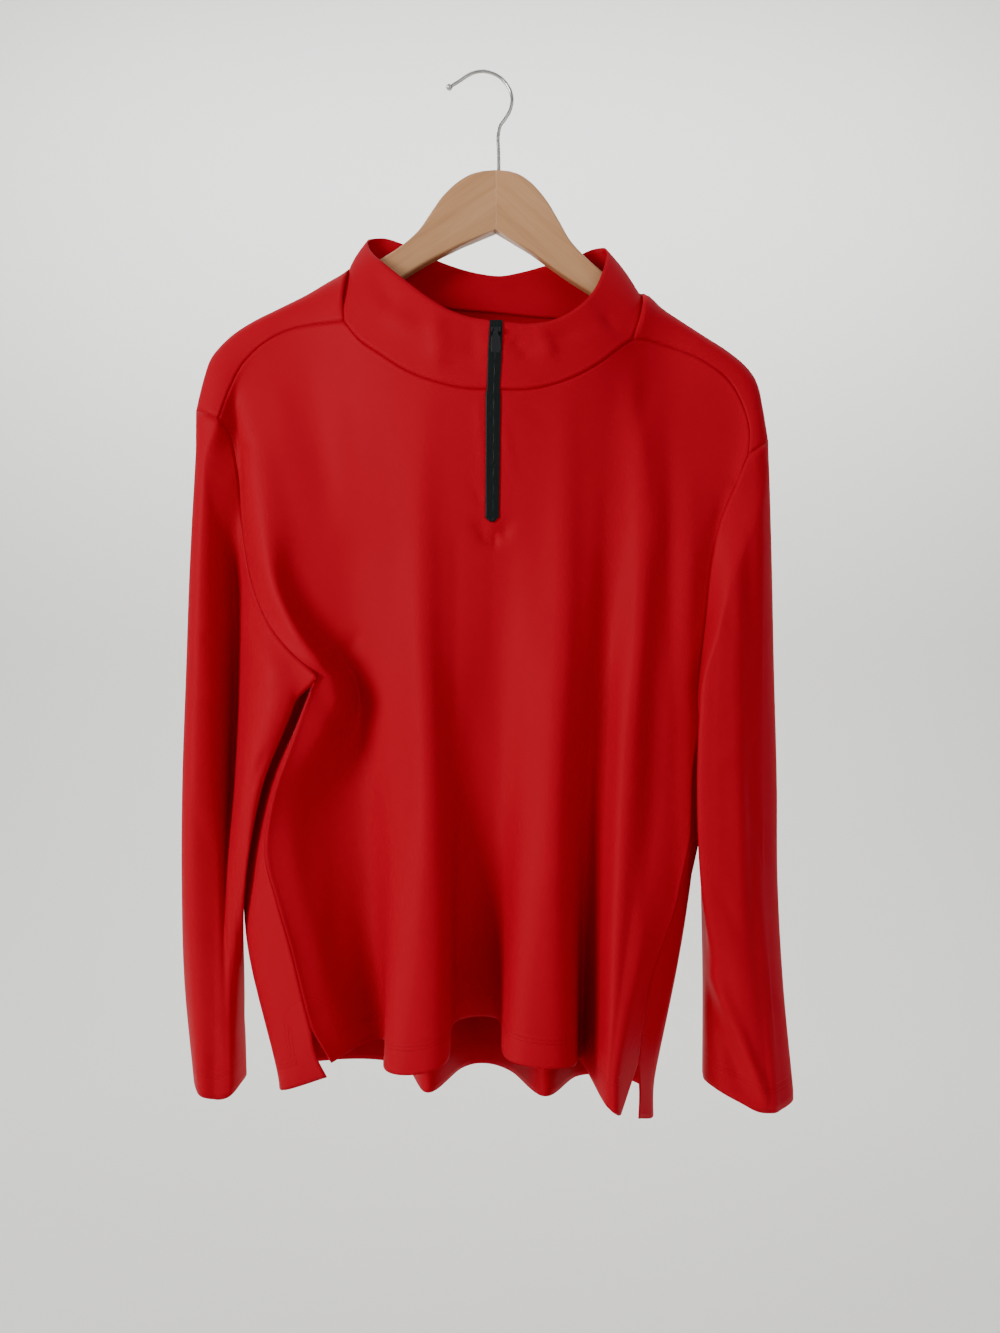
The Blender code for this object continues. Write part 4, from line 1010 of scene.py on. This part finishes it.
hems = {  # the cloth's edges that aren't sewn to another piece
    "front_body": [front[-1], left["vent_front"], right["vent_front"]],
    "back_body": [back[-1], left["vent_back"], right["vent_back"]],
    "left_sleeve": [sleeves["left"][-1]],
    "right_sleeve": [sleeves["right"][-1]],
    "stand_collar": [collar[0]],
}
cloth = {name: cloth_wall(name, pieces[name], directions[name],
                          COLLAR_CLOTH if name == "stand_collar" else CLOTH, hems[name])
         for name in pieces}
for name, made in cloth.items():
    print(name, len(made.data.polygons), "triangles")

# %% [markdown]
# ## The jersey's finish
#
# The cloth is a fine, dense polyester knit: deep red, almost smooth, with a slight sheen
# where it turns away. The knit itself is only a fine grain. A seam is a narrow groove
# with a swelling on either side, and hems and cuffs are turned up and sewn with two rows
# of stitches; the bottoms of the grooves and the stitches' dents get painted shade, a
# darker red. A picture of knit would show its repeats and cross the seams. This relief is
# worked out from the numbers that each point carries, so it runs along them.

# %% The jersey's colours, the painted shade of its grooves, and its relief in metres
JERSEY_DARK, JERSEY_LIGHT = (0.395, 0.0006, 0.0115, 1), (0.44, 0.0008, 0.0135, 1)
JERSEY_GROOVE_SHADE = (0.19, 0.0004, 0.007, 1)           # painted shade: the darker red in the bottom of a seam's groove
GROOVE_HALF, SWELLING_HALF, SWELLING_FROM_SEAM = 0.75 * MM, 1.5 * MM, 2.3 * MM
GROOVE_DEEP, SWELLING_HIGH, GRAIN_HIGH = 0.00006, 0.00007, 0.00003
STITCH_LONG, STITCH_HALF, LEDGE_HALF, STITCH_DEEP = 2.6 * MM, 0.45 * MM, 0.9 * MM, 0.00014
STITCH_ON = 0.36                 # half the share of a stitch's length that shows
print("a stitch is", round(STITCH_LONG / MM, 2), "mm long and", round(STITCH_DEEP / MM, 2), "deep")

# %% The red jersey
def stitch_rows(wire, away, run, rows):
    """Two rows of stitches: a bell across each row, times 1 on a stitch and 0 between two."""
    part = wire.math("FRACT", run / STITCH_LONG)
    on = wire.math("LESS_THAN", wire.math("ABSOLUTE", part - 0.5), STITCH_ON)
    return (away.bell(rows[0], STITCH_HALF) + away.bell(rows[1], STITCH_HALF)) * on


def jersey(name, fold_rows=None, fold_depth=None):
    """Red knit with grooved seams: the height is swelling - groove + grain.

    At a turned-up edge two rows of stitches and the ledge where the fold ends are taken off
    it, at `fold_rows` and `fold_depth` from the edge. The groove's bottom and the stitches
    get painted shade: a share of a darker red mixed into the colour.
    """
    made, inputs, wire = new_finish(name, Specular_IOR_Level=0.05, Sheen_Weight=0.08,
                                    Sheen_Roughness=0.5, Sheen_Tint=(1.0, 0.01, 0.04, 1))
    seam = wire.attribute("seam")
    cloudy = wire.noise(wire.place(), 9.0, 3.0)
    grain = wire.noise(wire.place(), 1500.0, 2.0, 0.6)
    groove = seam.bell(0.0, GROOVE_HALF)
    swelling = seam.bell(SWELLING_FROM_SEAM, SWELLING_HALF)
    height = swelling * SWELLING_HIGH - groove * GROOVE_DEEP + grain * GRAIN_HIGH
    # painted shade: 5 % of the darker red at the bottom of a seam's groove
    darker = groove * 0.05
    if fold_rows:
        hem = wire.attribute("hem")
        stitches = stitch_rows(wire, hem, wire.attribute("hem_run"), fold_rows)
        height = height - (stitches + hem.bell(fold_depth, LEDGE_HALF)) * STITCH_DEEP
        # painted shade in the stitches' dents, up to 16 % of the darker red
        darker = wire.math("MAXIMUM", darker, stitches * 0.16)
    plain = wire.mix(cloudy, JERSEY_DARK, JERSEY_LIGHT)
    connect(wire, inputs, wire.mix(darker, plain, JERSEY_GROOVE_SHADE), grain * 0.10 + 0.52, height)
    return made


body_jersey = jersey("red_jersey", [18 * MM, 21 * MM], 23 * MM)
cuff_jersey = jersey("red_jersey_sleeve", [17 * MM, 20 * MM], 22 * MM)
collar_jersey = jersey("red_jersey_collar")
versions = {"left_sleeve": cuff_jersey, "right_sleeve": cuff_jersey, "stand_collar": collar_jersey}
for name, made in cloth.items():
    made.data.materials.append(versions.get(name, body_jersey))
print("jersey in", len({made.data.materials[0].name for made in cloth.values()}), "versions")

# %% [markdown]
# ## The cloth on the pullover's body
#
# Each panel rides on the body of the pullover and stands for its CAD wall, which is hidden. It
# is a sheet that was cut flat and then hung. A table lists the cut's width, length and, as no
# panel is a rectangle, its flat area, which is printed beside the cloth's own.

# %% Panels on the frame
CUTS = {  # piece: CAD node, cut width, cut length, flat area
    "front_body": ("front_panel", 0.55, 0.66, 0.29),
    "back_body": ("back_panel", 0.56, 0.74, 0.36),
    "left_sleeve": ("sleeve_left", 0.36, 0.60, 0.138),
    "right_sleeve": ("sleeve_right", 0.36, 0.60, 0.138),
    "stand_collar": ("collar", 0.55, 0.062, 0.031),
}


def on_frame(made, node, body=GARMENT):
    """The piece stands for this CAD node, which is hidden, and moves with this body."""
    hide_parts(node)
    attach(made, body)


def one_side_area(made):
    """Half the area of all faces of a closed wall: the area of the cloth."""
    areas = np.empty(len(made.data.polygons))
    made.data.polygons.foreach_get("area", areas)
    return areas.sum() / 2


for name, (node, width, length, area) in CUTS.items():
    on_frame(cloth[name], node)
    print(name, "area", round(one_side_area(cloth[name]), 3), "cut", area)

# %% [markdown]
# ## The zip
#
# It is a smooth black strip about a centimetre wide, from the collar's top edge to the
# chest, with its teeth hidden under it. It takes its course from the collar's and the
# front's own points, moved outwards, so it follows every fold. Its foot is cut in a
# shallow curve and the two halves meet in a fine groove down the middle. That middle is
# given to the strip as its edge, so "hem" is the distance from it and "hem_run" runs down
# it. A strip modelled apart would cut into the cloth wherever a fold is moved.

# %% A strip laid on the collar and the front
ZIP_FOOT_Z, ZIP_FOOT_ROUND = -398.5 * MM, 4.0 * MM   # its middle; how much shorter its sides are
FOOT_POWER = 2.4                 # how late the foot's curve starts, away from the middle
ZIP_SHARE = 0.96                 # of the width between the two fold lines
ZIP_TAPE, ZIP_OVER, ZIP_ARCH = 0.6 * MM, 0.25, 0.25  # thick; over the cloth, and how arched (mm)
ZIP_ROWS_FINE, ZIP_COLUMNS = 150, 15

# u goes across the strip from -1 to 1 and v down it from 0 to 1. A point is read from the
# smooth curves through the cloth's own rows and columns, and raised off the cloth.
course = np.concatenate([collar[:, -1 - COLUMNS_PER_FOLD:],
                         front[1:ZIP_ROWS + 3, zip_left:zip_right + 1]])
middle = course[:, COLUMNS_PER_FOLD // 2]
run = run_along(middle)
zip_length = float(np.interp(-ZIP_FOOT_Z, -middle[:, 2], run))
u = np.linspace(-1, 1, ZIP_COLUMNS)
v = np.linspace(0, 1, ZIP_ROWS_FINE)[:, None]
down = v * (zip_length - ZIP_FOOT_ROUND * np.abs(u) ** FOOT_POWER)
columns = (u * ZIP_SHARE + 1) / 2 * COLUMNS_PER_FOLD
on_column = np.tensordot(weights(np.arange(COLUMNS_PER_FOLD + 1), columns), course, axes=(-1, 1))
strip = np.stack([weights(run, down[:, k]) @ on_column[k] for k in range(ZIP_COLUMNS)], axis=1)
out = facing(strip, 1)
lift = COLLAR_CLOTH / 2 + (ZIP_OVER + ZIP_ARCH * (1 - u ** 2)) * MM
lifted = strip + out * lift[None, :, None]
zip_directions = shared_directions({"zip": quads(lifted)}, {})["zip"]
zip_strip = cloth_wall("zip_strip", quads(lifted), zip_directions, ZIP_TAPE,
                       [lifted[:, ZIP_COLUMNS // 2]])
print("zip", round(zip_length, 3), "m long")

# %% Black finishes for the strip and for the slider
TOOTH_LONG, TEETH_FROM_MIDDLE, TEETH_HALF, SLIT_HALF = 1.5 * MM, 1.4 * MM, 0.9 * MM, 0.45 * MM

black, black_inputs, wire = new_finish("zip_black", Specular_IOR_Level=0.16)
from_middle, down_zip = wire.attribute("hem"), wire.attribute("hem_run")
wave = wire.math("SINE", down_zip * (2 * np.pi / TOOTH_LONG))
teeth = wave * from_middle.bell(TEETH_FROM_MIDDLE, TEETH_HALF)
slit = from_middle.bell(0.0, SLIT_HALF)
grain = wire.noise(wire.place(), 900.0)
connect(wire, black_inputs,
        wire.mix(grain, (0.0025, 0.0045, 0.0045, 1), (0.005, 0.0085, 0.0080, 1)),
        grain * 0.2 + 0.38, grain * 0.00002 - slit * 0.00035 + teeth * 0.00005)
zip_strip.data.materials.append(black)
on_frame(zip_strip, "zip_tape")

pull_black = grained("pull_black", 1100.0, 2.0, (0.006, 0.007, 0.009, 1),
                     (0.012, 0.013, 0.015, 1), 0.32, 0.00003, Specular_IOR_Level=0.3)
print("finishes", black.name, pull_black.name)

# %% [markdown]
# ## Plates with rounded edges
#
# The slider, its pull and the hanger's arms are all plates: an outline, a thickness and a
# rounded rim. Solidify and Bevel would make one, but on a curved outline the bevel's
# corners are hard to keep even. Here the outline is drawn in, ring by ring, along a
# quarter circle on each side.

# %% A plate from its outline
RIM_RINGS = 5                    # on each side of a plate


def closed_curve(corners, count):
    """`count` points on the smooth closed curve through the corners (in mm)."""
    corners = np.array(corners, float)
    again = np.concatenate([corners[-3:], corners, corners[:3]])
    knots = run_along(again)
    at = np.linspace(knots[3], knots[3 + len(corners)], count, endpoint=False)
    return weights(knots, at) @ again * MM


def rounded_plate(outline, half, rounding, rings=RIM_RINGS):
    """Points (u, v, depth) and faces of a plate of thickness 2 * half.

    Each ring is the outline drawn in by rounding * (1 - cos a) at depth half - rounding +
    rounding * sin a, with a from 0 to a quarter turn on each side. `rounding` may differ
    from point to point of the outline.
    """
    rounding = np.broadcast_to(rounding, len(outline))
    step = unit(np.roll(outline, -1, axis=0) - np.roll(outline, 1, axis=0))
    inward = np.stack([-step[:, 1], step[:, 0]], axis=1)
    a = np.linspace(0, np.pi / 2, rings)[:, None]
    drawn = outline + inward * (rounding * (1 - np.cos(a)))[..., None]
    depth = half - rounding + rounding * np.sin(a)
    near = np.concatenate([drawn, depth[..., None]], axis=2)
    far = near * (1, 1, -1)
    points = np.concatenate([far[::-1], near]).reshape(-1, 3)
    count, rows = len(outline), 2 * rings
    faces = grid_faces(rows, count, closed=True)[:, ::-1].tolist()
    faces.append(list(range(count))[::-1])
    faces.append(list(range((rows - 1) * count, rows * count)))
    return points, faces


def placed(points, origin, across, up, away):
    """Points (u, v, depth) of a plate put in space: origin + u across + v up + depth away."""
    return np.asarray(origin) + points @ np.stack([across, up, away])


print("a plate's rim has", RIM_RINGS, "rings on each side")

# %% The slider: a body with two lugs
BELOW_EDGE = 9.0 * MM            # from the collar's top edge down to the slider's middle
BODY_OUT, LUGS_OUT, LUGS_APART = 2.05 * MM, 2.75 * MM, 3.2 * MM   # apart: from the middle
BODY_HALF, LUG_HALF, PULL_HALF = 0.85 * MM, 0.7 * MM, 0.7 * MM    # half of each thickness
top, foot = collar[0, -1 - COLUMNS_PER_FOLD // 2], collar[-1, -1 - COLUMNS_PER_FOLD // 2]
way = unit(foot - top)
slider_middle = top + way * BELOW_EDGE
lean = np.arctan2(-way[1], -way[2])
up = np.array([0, np.sin(lean), np.cos(lean)])
outwards = np.array([0, -np.cos(lean), np.sin(lean)])
across = np.array([1.0, 0, 0])

body_shape = closed_curve([(-3.8, 2.4), (0, 2.9), (3.8, 2.4), (4.0, 0), (3.0, -2.3), (0, -2.9),
                           (-3.0, -2.3), (-4.0, 0)], 56)[::-1]
points, faces = rounded_plate(body_shape, BODY_HALF, 0.4 * MM)
parts = [(placed(points, slider_middle + outwards * BODY_OUT, across, up, outwards), faces)]
lug = closed_curve([(0.2, 2.3), (2.6, 1.7), (3.1, 0), (2.6, -1.7), (0.2, -2.3)], 30)[::-1]
points, faces = rounded_plate(lug, LUG_HALF, 0.25 * MM, 3)
for lug_side in (-1, 1):
    origin = slider_middle + outwards * LUGS_OUT + across * lug_side * LUGS_APART
    parts.append((placed(points, origin, outwards, up, np.cross(outwards, up)), faces))
count = np.cumsum([0] + [len(part[0]) for part in parts])
slider = mesh_object("zip_slider_body", np.concatenate([part[0] for part in parts]),
                     [[corner + count[k] for corner in face] for k, part in enumerate(parts)
                      for face in part[1]])
slider.data.materials.append(pull_black)
on_frame(slider, "zip_slider")
print("slider", len(slider.data.polygons), "faces")

# %% The pull, on its own body
hinge = frame["joints"][0]["pos_m"]
pull_shape = closed_curve([(-2.1, 0.7), (0, 0.8), (2.1, 0.7), (2.1, -1.8), (2.1, -4.0), (3.5, -5.6),
                           (3.8, -8), (3.8, -16.5), (3.2, -18.4), (0, -19), (-3.2, -18.4),
                           (-3.8, -16.5), (-3.8, -8), (-3.5, -5.6), (-2.1, -4.0), (-2.1, -1.8)],
                          110)[::-1]
points, faces = rounded_plate(pull_shape, PULL_HALF, 0.45 * MM)
pull = mesh_object("zip_pull_tab", placed(points, hinge, across, (0, 0, 1), (0, -1, 0)), faces)
pull.data.materials.append(pull_black)
on_frame(pull, "zip_pull", PULL_TAB)
print("pull on", PULL_TAB, "at", [round(c, 4) for c in hinge])

# %% [markdown]
# ## The hanger
#
# Two wooden arms are cut from plank, rounded along their edges and joined in a mitre at
# the middle. The grain runs along each arm, so each has its own direction of grain. One
# arm could be the other's mirror image, but this hanger hangs with its right end lower.

# %% The arms' outlines
WOOD_THICK, MITRE_X = 11 * MM, 10.5 * MM
ARM_OUTLINE = dict(              # (x, z) in mm, from the top of the mitre round to its foot
    left=[(-1, -87), (-12, -90), (-20, -94.5), (-36, -109), (-47, -124.5), (-56, -137.5),
          (-68, -149), (-88, -162.5), (-112, -175), (-134, -188), (-151, -197.5),
          (-177, -210.5), (-203, -223.5), (-214, -231), (-219, -238), (-214, -244),
          (-202, -243.5), (-176, -232), (-150, -220), (-111, -203), (-72, -180.5),
          (-47, -165.5), (-20, -152)],
    right=[(22, -87), (31, -90), (38, -94.5), (52, -109), (65.5, -130.5), (75, -147),
           (85, -158.5), (103, -174.5), (134, -197), (151, -208.5), (174, -223.5),
           (194, -236.5), (214, -249.5), (227, -261), (233, -269), (232, -276), (225, -277),
           (213, -268), (193, -255), (173, -243), (135, -219.5), (95.5, -195), (75, -182),
           (40, -157)])
WOOD_TOP, WOOD_BOTTOM = -87, -138.5             # mm, at the mitre
EDGE_POINTS, CURVE_POINTS = 14, 230             # at the mitre, and on the rest of an outline
WOOD_ROUNDING, MITRE_ROUNDING = 2.6 * MM, 0.12  # the latter as a share of the former
MITRE_GAP = dict(left=-0.04, right=0.04)        # mm from the mitre's plane


def arm_curve(side):
    """The arm's outline, sharp at the mitre and a smooth curve elsewhere, and its rounding."""
    mitre = MITRE_X + MITRE_GAP[side] * MM
    edge_z = np.linspace(WOOD_BOTTOM, WOOD_TOP, EDGE_POINTS) * MM
    edge = np.stack([np.full(EDGE_POINTS, mitre), edge_z], axis=1)
    outline = np.concatenate([edge, along(ARM_OUTLINE[side], shares(CURVE_POINTS - 1))])
    share = np.concatenate([np.full(EDGE_POINTS, MITRE_ROUNDING), np.ones(CURVE_POINTS)])
    return outline, WOOD_ROUNDING * share


print("outline of", len(arm_curve("left")[0]), "points")

# %% Two arms of wood
GRAIN_TURN = dict(left=0.60, right=-0.70)       # radians, along each arm
GRAIN_START = dict(left=0.31, right=0.87)       # metres, so that the arms' grain differs


def wood(side):
    """Pale varnished wood with grain along the arm, a few darker streaks and fine pores."""
    made, inputs, wire = new_finish(f"hanger_wood_{side}", Coat_Weight=0.35, Coat_Roughness=0.25)
    turned = wire.mapped(wire.place(), Rotation=(0, GRAIN_TURN[side], 0),
                         Location=(GRAIN_START[side], 0, 0))
    bands = wire.noise(wire.mapped(turned, Scale=(5.0, 30.0, 95.0)), 1.0, 4.0, 0.62)
    pores = wire.noise(wire.mapped(turned, Scale=(60.0, 500.0, 900.0)), 1.0, 2.0)
    colour = wire.node("ShaderNodeValToRGB", {"stops": [(0.25, (0.42, 0.195, 0.080, 1)),
                                                       (0.50, (0.55, 0.270, 0.118, 1)),
                                                       (0.72, (0.62, 0.330, 0.155, 1))]},
                       {"Fac": bands * 0.8 + pores * 0.2})
    connect(wire, inputs, colour, pores * 0.15 + 0.36, bands * 0.00006 + pores * 0.00003)
    return made


for side, turn in (("left", 1), ("right", -1)):         # both outlines run the same way round
    outline, rounding = arm_curve(side)
    points, faces = rounded_plate(outline[::turn], WOOD_THICK / 2, rounding[::turn], 7)
    points = placed(points, (0, 0, 0), (1, 0, 0), (0, 0, 1), (0, -1, 0))
    arm = mesh_object(f"{side}_arm", points, faces)
    arm.data.materials.append(wood(side))
    on_frame(arm, f"hanger_{side}")
    print(arm.name, len(arm.data.polygons), "faces")

# %% [markdown]
# ## The hook
#
# A bent wire with a ball at its end is a tube along a curve: rings of points square to
# the path. A curve with a round bevel would do for the wire, but here each ring has its
# own radius, and the ball is the same mesh.

# %% A tube along a path
def tube(path, radii, sides):
    """Rings round a path in the plane y = 0: centre + radius * (cos a * square + sin a * y)."""
    square = np.cross(unit(np.gradient(path, axis=0)), (0.0, 1.0, 0.0))
    a = np.linspace(0, 2 * np.pi, sides, endpoint=False)[None, :, None]
    ring = np.cos(a) * square[:, None] + np.sin(a) * np.array([0.0, 1.0, 0.0])
    points = (path[:, None] + ring * radii[:, None, None]).reshape(-1, 3)
    faces = grid_faces(len(path), sides, closed=True).tolist()
    last = (len(path) - 1) * sides
    return points, faces + [list(range(sides)), list(range(last, last + sides))[::-1]]


bar = tube(np.array([[0.0, 0, 0], [0, 0, 1]]), np.ones(2), 6)
print("a straight bar with 6 sides has", len(bar[1]), "faces")

# %% The wire hook with its ball end
# The wire's centre line, (x, z) in mm, from the wood up and over to the ball
HOOK_CENTRE = [(13, -86.7), (12.8, -70), (12.7, -52.5), (14, -46.5), (18.4, -40), (22.5, -33),
               (24.4, -25), (23.6, -17), (20, -10), (13.7, -3.4), (7, 0), (0, 1.5),
               (-7, 0.9), (-14, -2), (-20, -6), (-25, -9.2), (-28, -11)]
WIRE_RADIUS, BALL_RADIUS = 1.5 * MM, 2.8 * MM
WIRE_RINGS, BALL_RINGS, WIRE_SIDES = 170, 22, 24
BALL_FROM, BALL_TO = 0.5, np.pi - 0.02          # angles on the ball: at the wire, at its tip
BALL_AHEAD = 0.1 * MM            # its first ring beyond the wire's last one

wire_path = along([(x, 0, z) for x, z in HOOK_CENTRE], shares(WIRE_RINGS - 1))
last_way = unit(wire_path[-1] - wire_path[-2])
a = np.linspace(BALL_FROM, BALL_TO, BALL_RINGS)
beyond = BALL_RADIUS * (np.cos(BALL_FROM) - np.cos(a)) + BALL_AHEAD
path = np.concatenate([wire_path, wire_path[-1] + last_way * beyond[:, None]])
radii = np.concatenate([np.full(WIRE_RINGS, WIRE_RADIUS), BALL_RADIUS * np.sin(a)])
hook = mesh_object("wire_hook", *tube(path, radii, WIRE_SIDES))
hook.data.materials.append(grained("hook_steel", 260.0, 3.0, (0.50, 0.49, 0.47, 1),
                                   (0.66, 0.65, 0.63, 1), 0.16, 0.00002, Metallic=1.0))
on_frame(hook, "hook")
print("hook", len(hook.data.polygons), "faces")

# %% [markdown]
# ## Size, and the end
#
# The sizes of the CAD model's box and of the dressed model's box are both printed.
# The dressed model may stand only a little proud of the CAD model.

dressed_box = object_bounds()
for label, (low, high) in (("CAD", cad_box), ("dressed", dressed_box)):
    print(label, "size", [round(h - l, 4) for l, h in zip(low, high)])
